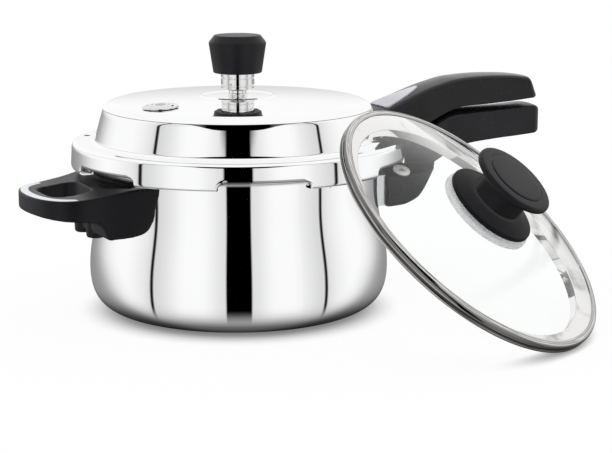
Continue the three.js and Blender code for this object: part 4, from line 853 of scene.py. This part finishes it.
LEAF_START = 109.0
LEAF_LENGTH = 33.0
LEAF_ROOT_HALF = 10.6
LEAF_HALF_WIDTH = 12.4
LEAF_PULL = 9.4
LEAF_TIP_HALF = 1.8
LEAF_BULGE = 3.0
LEAF_ACROSS = 10
slope_x, slope_z = LID_HANDLE_ROWS[1][0], LID_HANDLE_ROWS[1][3]
leaf_slope = math.atan2(LID_HANDLE_ROWS[2][3] - slope_z, LID_HANDLE_ROWS[2][0] - slope_x)
leaf_place = (
    Matrix.Translation((LEAF_START, 0, slope_z + (LEAF_START - slope_x) * math.tan(leaf_slope)))
    @ Matrix.Rotation(-leaf_slope, 4, "Y")
)


def leaf_edge(grow, turns=14):
    """Half of the leaf's outline, from root to tip: x from the root, and half width."""
    half = LEAF_HALF_WIDTH + grow
    root, widest = Vector((-grow, LEAF_ROOT_HALF + grow)), Vector((LEAF_BULGE, half))
    tip = Vector((LEAF_LENGTH + grow, LEAF_TIP_HALF))
    root_side = bend(root, Vector((0.2, half)), widest, turns)
    return root_side[:-1] + bend(widest, Vector((21, LEAF_PULL + grow)), tip, turns)


def leaf_plate(name, grow, low, high, dome=0.0):
    """The leaf laid on the lid handle's slope; its middle may be domed."""
    edge = leaf_edge(grow)
    across = [2 * k / LEAF_ACROSS - 1 for k in range(LEAF_ACROSS + 1)]
    verts = []
    for at in edge:
        verts += [(at.x, at.y * share, low) for share in across]
        verts += [(at.x, at.y * share, high + dome * (1 - share ** 2)) for share in reversed(across)]
    return piece(name, verts, ring_faces(len(edge), 2 * len(across)), leaf_place)


LID_SCREW_X = 132.0
SMALL_HEAD = (4.2, 2.6)
SMALL_HEAD_HOLE = 4.5
lid_face = [p for p in beside([p for p in lid_outside if p.x > 60], FIT_GAP) if p.y > LEDGE_HEIGHT + FIT_GAP - 0.02]
lid_handle = handle_loft("lid_handle_moulded", LID_HANDLE_ROWS, LID_HANDLE_END, 3.6, 1.2,
                         lambda x: LID_HANDLE_CROWN, LID_HANDLE_SLANT)
cut(lid_handle, [
    spun("lid_face", [(0, lid_face[0].y), *lid_face, (lid_face[-1].x, 90), (0, 90)], ROUND_STEPS * 2),
    block("strap_slot", 80, 147.3, 10.3, 121.7, 125.3),
    leaf_plate("leaf_hollow", 0.35, -1.2, 4),
    drill("screw_hole", SMALL_HEAD_HOLE, 100, 121.9, Matrix.Translation((LID_SCREW_X, 0, 0))),
])
moulded(lid_handle, 0.6, 5)
dressed(lid_handle, BLACK, "lid", "black_bakelite", "lid_handle", sharp=0)
leaf = leaf_plate("lid_handle_leaf_coated", 0.0, -0.9, 0.3, 0.25)
dressed(leaf, LEAF_SILVER, "lid", "silver_inlay", "lid_handle_leaf", sharp=40)

SHOULDER_LOW = (28, 82)
SHOULDER_HIGH = (10.5, 91.6)
WAIST = [SHOULDER_LOW, SHOULDER_HIGH, (15.4, 104), (28, 104)]
WAIST_START = 95
ALONG_X = Matrix(((0, 0, 1, 0), (1, 0, 0, 0), (0, 1, 0, 0), (0, 0, 0, 1)))
SHOULDER_SCREW = Vector((119.5, 16.6))
SHOULDER_SINK = 1.4
shoulder_slope = math.atan2(SHOULDER_HIGH[1] - SHOULDER_LOW[1], SHOULDER_LOW[0] - SHOULDER_HIGH[0])
shoulder_height = SHOULDER_HIGH[1] - (SHOULDER_SCREW.y - SHOULDER_HIGH[0]) * math.tan(shoulder_slope)


def shoulder_place(side):
    return (
        Matrix.Translation((SHOULDER_SCREW.x, side * SHOULDER_SCREW.y, shoulder_height))
        @ Matrix.Rotation(-side * shoulder_slope, 4, "X") @ Matrix.Translation((0, 0, HEAD_HEIGHT - SHOULDER_SINK))
    )


def shoulder_seat(side):
    return spun("screw_seat", [(0, -18), (2.3, -18), (2.3, -2.7), (6.6, -2.7), (6.6, 10), (0, 10)], 40,
                place=shoulder_place(side))


RIDGE_ROWS = [(145, 0), (152, 1.6), (162, 2.8), (174.5, 3.4), (198, 2.6), (218, 1.5), (238, 1.2)]


def ridge(x):
    """How far the middle of the body handle's top stands above its edges."""
    if x <= RIDGE_ROWS[0][0]:
        return 0.0
    for (x0, low), (x1, high) in zip(RIDGE_ROWS, RIDGE_ROWS[1:]):
        if x <= x1:
            return low + (high - low) * (x - x0) / (x1 - x0)
    return RIDGE_ROWS[-1][1]


ridged_rows = [(x, half, under, top + ridge(x)) for x, half, under, top in BODY_HANDLE_ROWS]
body_handle = handle_loft("body_handle_moulded", ridged_rows, BODY_HANDLE_END, 1.2, 2.4, ridge)
cut(body_handle, [
    drill("lid_swing", 115, 97.4, 118, None, ROUND_STEPS * 2),
    prism("waist_far", WAIST, WAIST_START, BODY_HANDLE_END, ALONG_X),
    prism("waist_near", [(-y, z) for y, z in WAIST][::-1], WAIST_START, BODY_HANDLE_END, ALONG_X),
    block("tongue_slot", 95, 127.3, 12.3, 70.7, 78.3),
    shoulder_seat(-1),
    shoulder_seat(1),
])
moulded(body_handle, 0.6, 5)
dressed(body_handle, BLACK, "pot", "black_bakelite", "body_handle", sharp=0)


# Helper handle

GRIP_ROWS = [(112, 43.6), (128, 41), (139.5, 35.8), (147, 27), (151.2, 14.5), (152.6, 0)]
GRIP_ROOT = [(66, 54), (80, 52), (93, 48.9)]
BAR_BOTTOM = 76.0
BAR_TOP = 90.2
BOSS_X = -108.0
BOSS_Y = 11.0
HELPER_SCREW_X = -103.5
BACK_HALF_ANGLE = 23
ALONG_Y = Matrix(((1, 0, 0, 0), (0, 0, -1, 0), (0, 1, 0, 0), (0, 0, 0, 1)))


def grip_edge(count, root=()):
    far = [(-x, y) for x, y in [*root, *GRIP_ROWS]]
    near = [(x, -y) for x, y in far[:-1]][::-1]
    return [Vector(p) for p in catmull(far + near, count)]


def helper_boss(y):
    return spun("helper_boss", [(0, 60), (5.4, 60), (6.4, 61), (6.7, 80), (0, 80)], 48,
                place=Matrix.Translation((BOSS_X, y, 0)))


helper_side = rounded_path([
    (-81.8, 84), (-78, 97), (-92, 96.4, 6), (-108, 93.2, 8), (-130, BAR_TOP, 8), (-157, BAR_TOP - 0.2),
    (-157, 79.8), (-142, 77.2, 6), (-128, BAR_BOTTOM, 6), (-115.6, 75, 5), (-111.4, 63.4, 2.0), (-96, 64.8, 4),
    (-87.5, 67.4, 4.4), (-82.8, 75.5, 4), (-81.8, 84),
])[:-1]
helper = prism("helper_handle_moulded", grip_edge(110, GRIP_ROOT), 50, 110)
cut(helper, [prism("helper_side", helper_side, -70, 70, ALONG_Y)], "INTERSECT")
loop = [(-140, -21, 12), (-111, -21, 12), (-111, 21, 12), (-140, 21, 12)]
cut(helper, [prism("loop_hole", rounded_path(loop + loop[:2])[1:-1], 50, 110)])
helper_back = arc("helper_back", rounded_path([
    (92, 80), (110, 84), (109, 93), (105.5, 94.8, 1.4), (102.6, 96, 1.4), (101, 99.4, 1), (92, 99.6),
], 6), 180 - BACK_HALF_ANGLE, 180 + BACK_HALF_ANGLE, 40)
cut(helper, [helper_back, helper_boss(-BOSS_Y), helper_boss(BOSS_Y)], "UNION")
pot_face = beside(pot_outside, -FIT_GAP)
cut(helper, [
    spun("pot_face", [(0, pot_face[0].y), *pot_face[1:], (0, pot_face[-1].y)], ROUND_STEPS * 2),
    drill("helper_screw_hole", SMALL_HEAD_HOLE, 50, 66.2, Matrix.Translation((HELPER_SCREW_X, 0, 0))),
])
moulded(helper, 0.7, 9)
dressed(helper, HELPER_BLACK, "pot", "black_bakelite", "helper_handle", sharp=0)

INLAY_START = -127
grip_line = grip_edge(120)
kept = [i for i, p in enumerate(grip_line) if p.x < INLAY_START]
inlay_outer, inlay_inner = beside(grip_line, 1.3), beside(grip_line, 6.5)
inlay_outline = [inlay_outer[i] for i in kept] + [inlay_inner[i] for i in reversed(kept)]
inlay = prism("helper_inlay_coated", inlay_outline, 89.3, BAR_TOP + 0.3)
ease = inlay.modifiers.new("edge", "BEVEL")
ease.width = 0.35 * MM
ease.segments = 3
ease.limit_method = "ANGLE"
applied(inlay)
dressed(inlay, STRIP_SILVER, "pot", "silver_inlay", "helper_inlay", sharp=45)


# Screws in the handles

shoulder_screws = []
for side in (-1, 1):
    place = shoulder_place(side)
    shoulder_screws.append((place.translation, place.to_3x3() @ Vector((0, 0, 1)), HEAD_RADIUS, HEAD_HEIGHT))
screws("pot_screws", "pot", [*shoulder_screws, ((HELPER_SCREW_X, 0, 63.3), (0, 0, -1), *SMALL_HEAD)],
       ("body_screw_near", "body_screw_far", "helper_screw"))
screws("lid_screw", "lid", [((LID_SCREW_X, 0, 119), (0, 0, -1), *SMALL_HEAD)], ("lid_handle_screw",))


# Glass lid

GLASS_LID_RADIUS = 102.3
GLASS_TILT = math.radians(41.5)
GLASS_TURN = math.radians(-56.1)
GLASS_PLACE = (
    Matrix.Translation((98.3, -137.4, GLASS_LID_RADIUS * math.sin(GLASS_TILT)))
    @ Matrix.Rotation(GLASS_TURN, 4, "Z") @ Matrix.Rotation(GLASS_TILT, 4, "Y")
)
RIM_METAL = 0.8
RIM_STEP_RADIUS = 88.0
RIM_STEP_BOTTOM = -5.0
RIM_LIP_RADIUS = 97.4
GLASS_EDGE = 100.4
GLASS_RISE = 20.0
GLASS_THICK = 4.0
GLASS_RINGS = 48
KNOB_HOLE = 3.4
KNOB_HEIGHT = 26.4
KNOB_RADIUS = 27.8
KNOB_NECK_RADIUS = 17.5
KNOB_HOLLOW_RADIUS = 20.3
FLANGE_RADIUS = 31.0
FLANGE_HEIGHT = 6.0
WASHER_RADIUS = 32.0
WASHER_THICK = 1.6
KNOB_SCREW_HEAD = (6.3, 2.6)
glass_sphere = (GLASS_EDGE ** 2 + GLASS_RISE ** 2) / (2 * GLASS_RISE)


def glass_under(radius):
    return RIM_METAL + FIT_GAP + GLASS_RISE - glass_sphere + math.sqrt(glass_sphere ** 2 - radius ** 2)


def glass_over(radius):
    return glass_under(radius) + GLASS_THICK


def above_glass(radius):
    return (radius, glass_over(radius) + FIT_GAP)


def glass_piece(name, outline, material, slot, solid, steps=ROUND_STEPS, ring=True, sharp=45):
    """A piece of the glass lid, spun round that lid's own axis."""
    made = spun(name, outline, steps, ring=ring, place=GLASS_PLACE)
    return dressed(made, material, "glass_lid", slot, solid, sharp=sharp)


glass_radii = [KNOB_HOLE + (GLASS_EDGE - KNOB_HOLE) * k / GLASS_RINGS for k in range(GLASS_RINGS + 1)]
glass_outline = [Vector((r, glass_under(r))) for r in glass_radii]
glass_outline += [Vector((r, glass_over(r))) for r in reversed(glass_radii)]
glass_disc = glass_piece("glass_disc_clear", glass_outline, GLASS, "lid_glass", "glass_disc", FINE_STEPS, sharp=40)

lip_over = GLASS_EDGE + FIT_GAP
lip_height = glass_over(RIM_LIP_RADIUS) + FIT_GAP
step_outside = RIM_STEP_RADIUS + RIM_METAL
rim_outline = rounded_path([
    (RIM_STEP_RADIUS, RIM_STEP_BOTTOM), (step_outside, RIM_STEP_BOTTOM), (step_outside, 0, 0.6), (96, 0, 0.5),
    (101.4, -0.3, 0.7), (102.2, 1.2, 0.7), (101.6, 2.3, 0.25), (101.6, 2.9, 0.25), (GLASS_LID_RADIUS, 3.9, 0.6),
    (102.1, 6.4, 1.1), (100.7, 7.6, 0.6), (99.9, 7.3, 0.25), (99.3, 7.3, 0.25), (98.6, 7.9, 0.4),
    (RIM_LIP_RADIUS, lip_height + RIM_METAL, 0.3), (RIM_LIP_RADIUS, lip_height), above_glass(lip_over),
    (lip_over, RIM_METAL), (RIM_STEP_RADIUS, RIM_METAL, 0.6), (RIM_STEP_RADIUS, RIM_STEP_BOTTOM),
], 6)[:-1]
glass_rim = glass_piece("glass_rim_rolled", rim_outline, rolled_steel(GLASS_PLACE), "polished_steel", "glass_rim",
                        FINE_STEPS, sharp=40)

knob_seat = glass_over(FLANGE_RADIUS) + FIT_GAP
knob_top = knob_seat + KNOB_HEIGHT
flange_top = knob_seat + FLANGE_HEIGHT
neck_bottom = flange_top + FIT_GAP
hollow_bottom = knob_top - 3
nut_top = neck_bottom + 9
knob_flange = glass_piece("knob_flange_moulded", rounded_path([
    (KNOB_HOLE, glass_over(0) + FIT_GAP), above_glass(15), (FLANGE_RADIUS, knob_seat, 0.4),
    (FLANGE_RADIUS, knob_seat + 2.8, 1.2), (19.5, flange_top, 2.0), (KNOB_HOLE, flange_top),
]), FLANGE_BLACK, "black_bakelite", "knob_flange")
knob_grip = glass_piece("knob_grip_moulded", rounded_path([
    (KNOB_HOLE, neck_bottom), (KNOB_NECK_RADIUS, neck_bottom, 0.4), (KNOB_NECK_RADIUS, knob_top - 7, 4.0),
    (KNOB_RADIUS, knob_top - 4.2, 1.6), (KNOB_RADIUS, knob_top - 0.3, 2.2), (KNOB_HOLLOW_RADIUS, knob_top, 0.4),
    (KNOB_HOLLOW_RADIUS, hollow_bottom), (0, hollow_bottom), (0, nut_top), (KNOB_HOLE, nut_top),
]), KNOB_BLACK, "black_bakelite", "knob_grip")
disc_radius, disc_bottom = KNOB_HOLLOW_RADIUS - FIT_GAP, hollow_bottom + FIT_GAP
knob_disc = glass_piece("knob_disc_moulded", rounded_path([
    (0, disc_bottom), (disc_radius, disc_bottom), (disc_radius, knob_top + 0.5, 0.9), (18, knob_top + 0.7, 1.0),
    (0, knob_top + 1.0),
], 6), KNOB_BLACK, "black_bakelite", "knob_disc", ring=False)

washer_seat = glass_under(0) - FIT_GAP
washer_bottom = washer_seat - WASHER_THICK
washer_edge = glass_under(WASHER_RADIUS) - FIT_GAP
knob_washer = glass_piece("knob_washer_moulded", rounded_path([
    (KNOB_HOLE, washer_bottom), (WASHER_RADIUS, washer_edge - 2.4, 0.5), (WASHER_RADIUS, washer_edge, 0.3),
    (13, glass_under(13) - FIT_GAP), (KNOB_HOLE, washer_seat),
], 5), SILICONE, "clear_silicone", "knob_washer")
knob_screw_at = GLASS_PLACE @ Vector((0, 0, washer_bottom - FIT_GAP - KNOB_SCREW_HEAD[1]))
knob_screw_axis = GLASS_PLACE.to_3x3() @ Vector((0, 0, -1))
screws("knob_screw_set", "glass_lid", [(knob_screw_at, knob_screw_axis, *KNOB_SCREW_HEAD)], ("knob_screw",))


# Solids that keep their shape

for name, material in (
    ("body_bracket", BRUSHED), ("helper_bracket", BRUSHED), ("lid_strap", BRUSHED), ("vent_nut", BRUSHED),
    ("safety_plug_nut", BRUSHED), ("seal_ring", RUBBER), ("vent_washer", RUBBER), ("safety_plug_washer", RUBBER),
):
    mesh = nodes[name].data
    mesh.materials.clear()
    mesh.materials.append(material)


# Floor, light and camera

CAMERA_AT = Vector((-0.5036, -1.0902, 0.2944))
CAMERA_TURN = math.radians(27)
CAMERA_DIP = math.radians(11.27)
CAMERA_LENS = 104.65
FRONT_TURN = math.atan2(-CAMERA_AT.x, -CAMERA_AT.y)
ROOM_AXIS = (0.4126, 0.8931, -0.1797)
ROOM_LEVEL = 0.92
FLOOR_HALF = 9
FLOOR_GLOW = 0.93
TOUCH_DISTANCE = 0.04
KEY_ENERGY = 0.5
KEY_ANGLE = math.radians(50)
KEY_TURN = Euler((math.radians(24), math.radians(-18), 0))


def lay_floor():
    """White floor; where a piece stands close to it, its glow is darkened as a painted contact shadow, beside the
    real shadow that its diffuse share keeps.
    """
    mesh = bpy.data.meshes.new("floor")
    corners = [(x * FLOOR_HALF, y * FLOOR_HALF, 0) for x, y in ((-1, -1), (1, -1), (1, 1), (-1, 1))]
    mesh.from_pydata(corners, [], [[0, 1, 2, 3]])
    floor = bpy.data.objects.new("floor", mesh)
    scene.collection.objects.link(floor)
    paint, tree, shader = fresh_material("floor_paint", {"Specular IOR Level": 0, "Roughness": 1})
    feed(shader, {"Base Color": two_tones(tree, noise(tree, 1.5), (0.94, 0.94, 0.94), (0.95, 0.95, 0.95))})
    # Painted contact shadow: ambient occlusion dims the floor's glow.
    touch = node(tree, "ShaderNodeAmbientOcclusion", {"Distance": TOUCH_DISTANCE}, samples=24).outputs["AO"]
    glow = node(tree, "ShaderNodeEmission", {"Strength": spread(tree, touch, 0.2, 1.0, 0.04, 0.66)})
    path = node(tree, "ShaderNodeLightPath").outputs
    seen = maths(tree, "MAXIMUM", path["Is Camera Ray"], path["Is Transmission Ray"])
    seen = maths(tree, "MAXIMUM", seen, path["Is Glossy Ray"])
    both = node(tree, "ShaderNodeMixShader", {
        "Fac": maths(tree, "MULTIPLY", seen, FLOOR_GLOW), 1: shader.outputs[0], 2: glow.outputs[0],
    })
    feed(tree.nodes["Material Output"], {"Surface": both.outputs[0]})
    mesh.materials.append(paint)
    floor.visible_glossy = False


# Pairs of an angle in degrees and the brightness, or depth of the gap, seen there.
PANEL_STOPS = [
    (0, 0), (4.6, 0), (5.1, 0.77), (7.5, 0.81), (10, 0.90), (12.8, 0.98), (15, 1), (21, 1), (23.5, 0.96),
    (26, 0.88), (29, 0.80), (32, 0.73), (33.9, 0.70), (34.2, 0.01), (35.3, 0.01), (35.6, 0.74), (38, 0.83),
    (41, 0.90), (45, 0.97), (48, 1), (90, 1),
]
FOOT_STOPS = [
    (-90, 0.03), (-60, 0.06), (-45, 0.155), (-36, 0.33), (-28, 0.58), (-22, 0.78), (-16, 0.93), (-10, 1), (0, 1),
]
WALL_STOPS = [(0, 1), (59, 1), (64, 0.92), (68, 0.8), (72, 0.62), (76, 0.46), (80, 0.36), (86, 0.3), (110, 0.26)]
DEPTH_STOPS = [(0, 1), (13, 1), (17, 0.86), (75, 0.86), (85, 0), (90, 0)]
# Where the roof begins, in hundreds of degrees above the level, over the angle to the side.
ROOF_STOPS = [
    (0, 0.164), (5, 0.164), (8.5, 0.172), (11, 0.185), (13.5, 0.21), (16, 0.245), (20, 0.285), (26, 0.305),
    (90, 0.312),
]


def studio_world():
    """White room; polished pieces see the dark gaps between its soft panels."""
    world = bpy.data.worlds.new("studio")
    world.use_nodes = True
    scene.world = world
    world.cycles.sampling_method = "NONE"
    tree = world.node_tree

    def m(operation, *values):
        return maths(tree, operation, *values)

    def curve(value, stops):
        """The brightness that the stops give for a value."""
        first, last = stops[0][0], stops[-1][0]
        share = m("DIVIDE", m("SUBTRACT", value, first), last - first)
        return shades(tree, share, [((at - first) / (last - first), (tone, tone, tone, 1)) for at, tone in stops])

    def fade(value, start, end, low=0.0, high=1.0):
        return spread(tree, value, low, high, start, end, interpolation_type="SMOOTHSTEP")

    def mixed(share, first, second):
        return m("ADD", m("MULTIPLY", share, first), m("MULTIPLY", m("SUBTRACT", 1.0, share), second))

    away = node(tree, "ShaderNodeTexCoord").outputs["Generated"]
    halfway = vector_maths(tree, "NORMALIZE", vector_maths(tree, "SUBTRACT", away, ROOM_AXIS)[0])[0]
    turned = node(tree, "ShaderNodeMapping", {"Vector": halfway, "Rotation": (0, 0, FRONT_TURN)}, vector_type="POINT")
    x, y, z = node(tree, "ShaderNodeSeparateXYZ", {0: turned.outputs[0]}).outputs

    degrees = 180 / math.pi
    side = m("ABSOLUTE", m("MULTIPLY", m("ARCTAN2", x, m("MULTIPLY", y, -1.0)), degrees))
    rise = m("MULTIPLY", m("ARCSINE", z), degrees)
    corner = fade(rise, 16, 34)
    panel = curve(m("ADD", side, m("MULTIPLY", m("MULTIPLY", corner, corner), 7.0)), PANEL_STOPS)
    merge = fade(rise, -42, -12, 1, 0)
    panel = m("ADD", panel, m("MULTIPLY", m("SUBTRACT", 0.9, panel), merge))
    lean = m("ADD", side, m("MULTIPLY", m("SUBTRACT", 15.7, rise), 0.7))
    body = m("MULTIPLY", m("MULTIPLY", panel, curve(lean, WALL_STOPS)), curve(rise, FOOT_STOPS))
    roof_low = m("MULTIPLY", curve(side, ROOF_STOPS), 100.0)
    above = fade(m("SUBTRACT", rise, roof_low), -0.6, 0.6)
    roof = m("SUBTRACT", 1.0, m("MULTIPLY", fade(rise, 31.8, 33.2, 1, 0), curve(side, DEPTH_STOPS)))
    upper = m("MULTIPLY", roof, fade(y, -0.02, 0.09, 1.0, 0.74))
    panels = mixed(above, upper, body)

    path = node(tree, "ShaderNodeLightPath").outputs
    white = m("MAXIMUM", path["Is Camera Ray"], path["Is Transmission Ray"])
    level = mixed(white, 1.0, mixed(path["Is Glossy Ray"], panels, ROOM_LEVEL))
    feed(tree.nodes["Background"], {"Strength": level, "Color": (1, 1, 1, 1)})


lay_floor()
studio_world()

lamp = bpy.data.lights.new("soft_key", "SUN")
lamp.energy = KEY_ENERGY
lamp.angle = KEY_ANGLE
key = bpy.data.objects.new("soft_key", lamp)
key.rotation_euler = KEY_TURN
key.visible_glossy = False
scene.collection.objects.link(key)

eye = bpy.data.cameras.new("eye")
eye.lens = CAMERA_LENS
eye.sensor_width = 36
eye.clip_start = 0.05
eye.clip_end = 60
camera = bpy.data.objects.new("eye", eye)
camera.location = CAMERA_AT
look = Vector((
    math.sin(CAMERA_TURN) * math.cos(CAMERA_DIP), math.cos(CAMERA_TURN) * math.cos(CAMERA_DIP), -math.sin(CAMERA_DIP),
))
camera.rotation_euler = look.to_track_quat("-Z", "Y").to_euler()
scene.collection.objects.link(camera)
scene.camera = camera

for made in (glass_disc, glass_rim, knob_flange, knob_grip, knob_disc, knob_washer, helper):
    made.visible_glossy = False
glass_disc.visible_shadow = False

scene.view_settings.view_transform = "Standard"
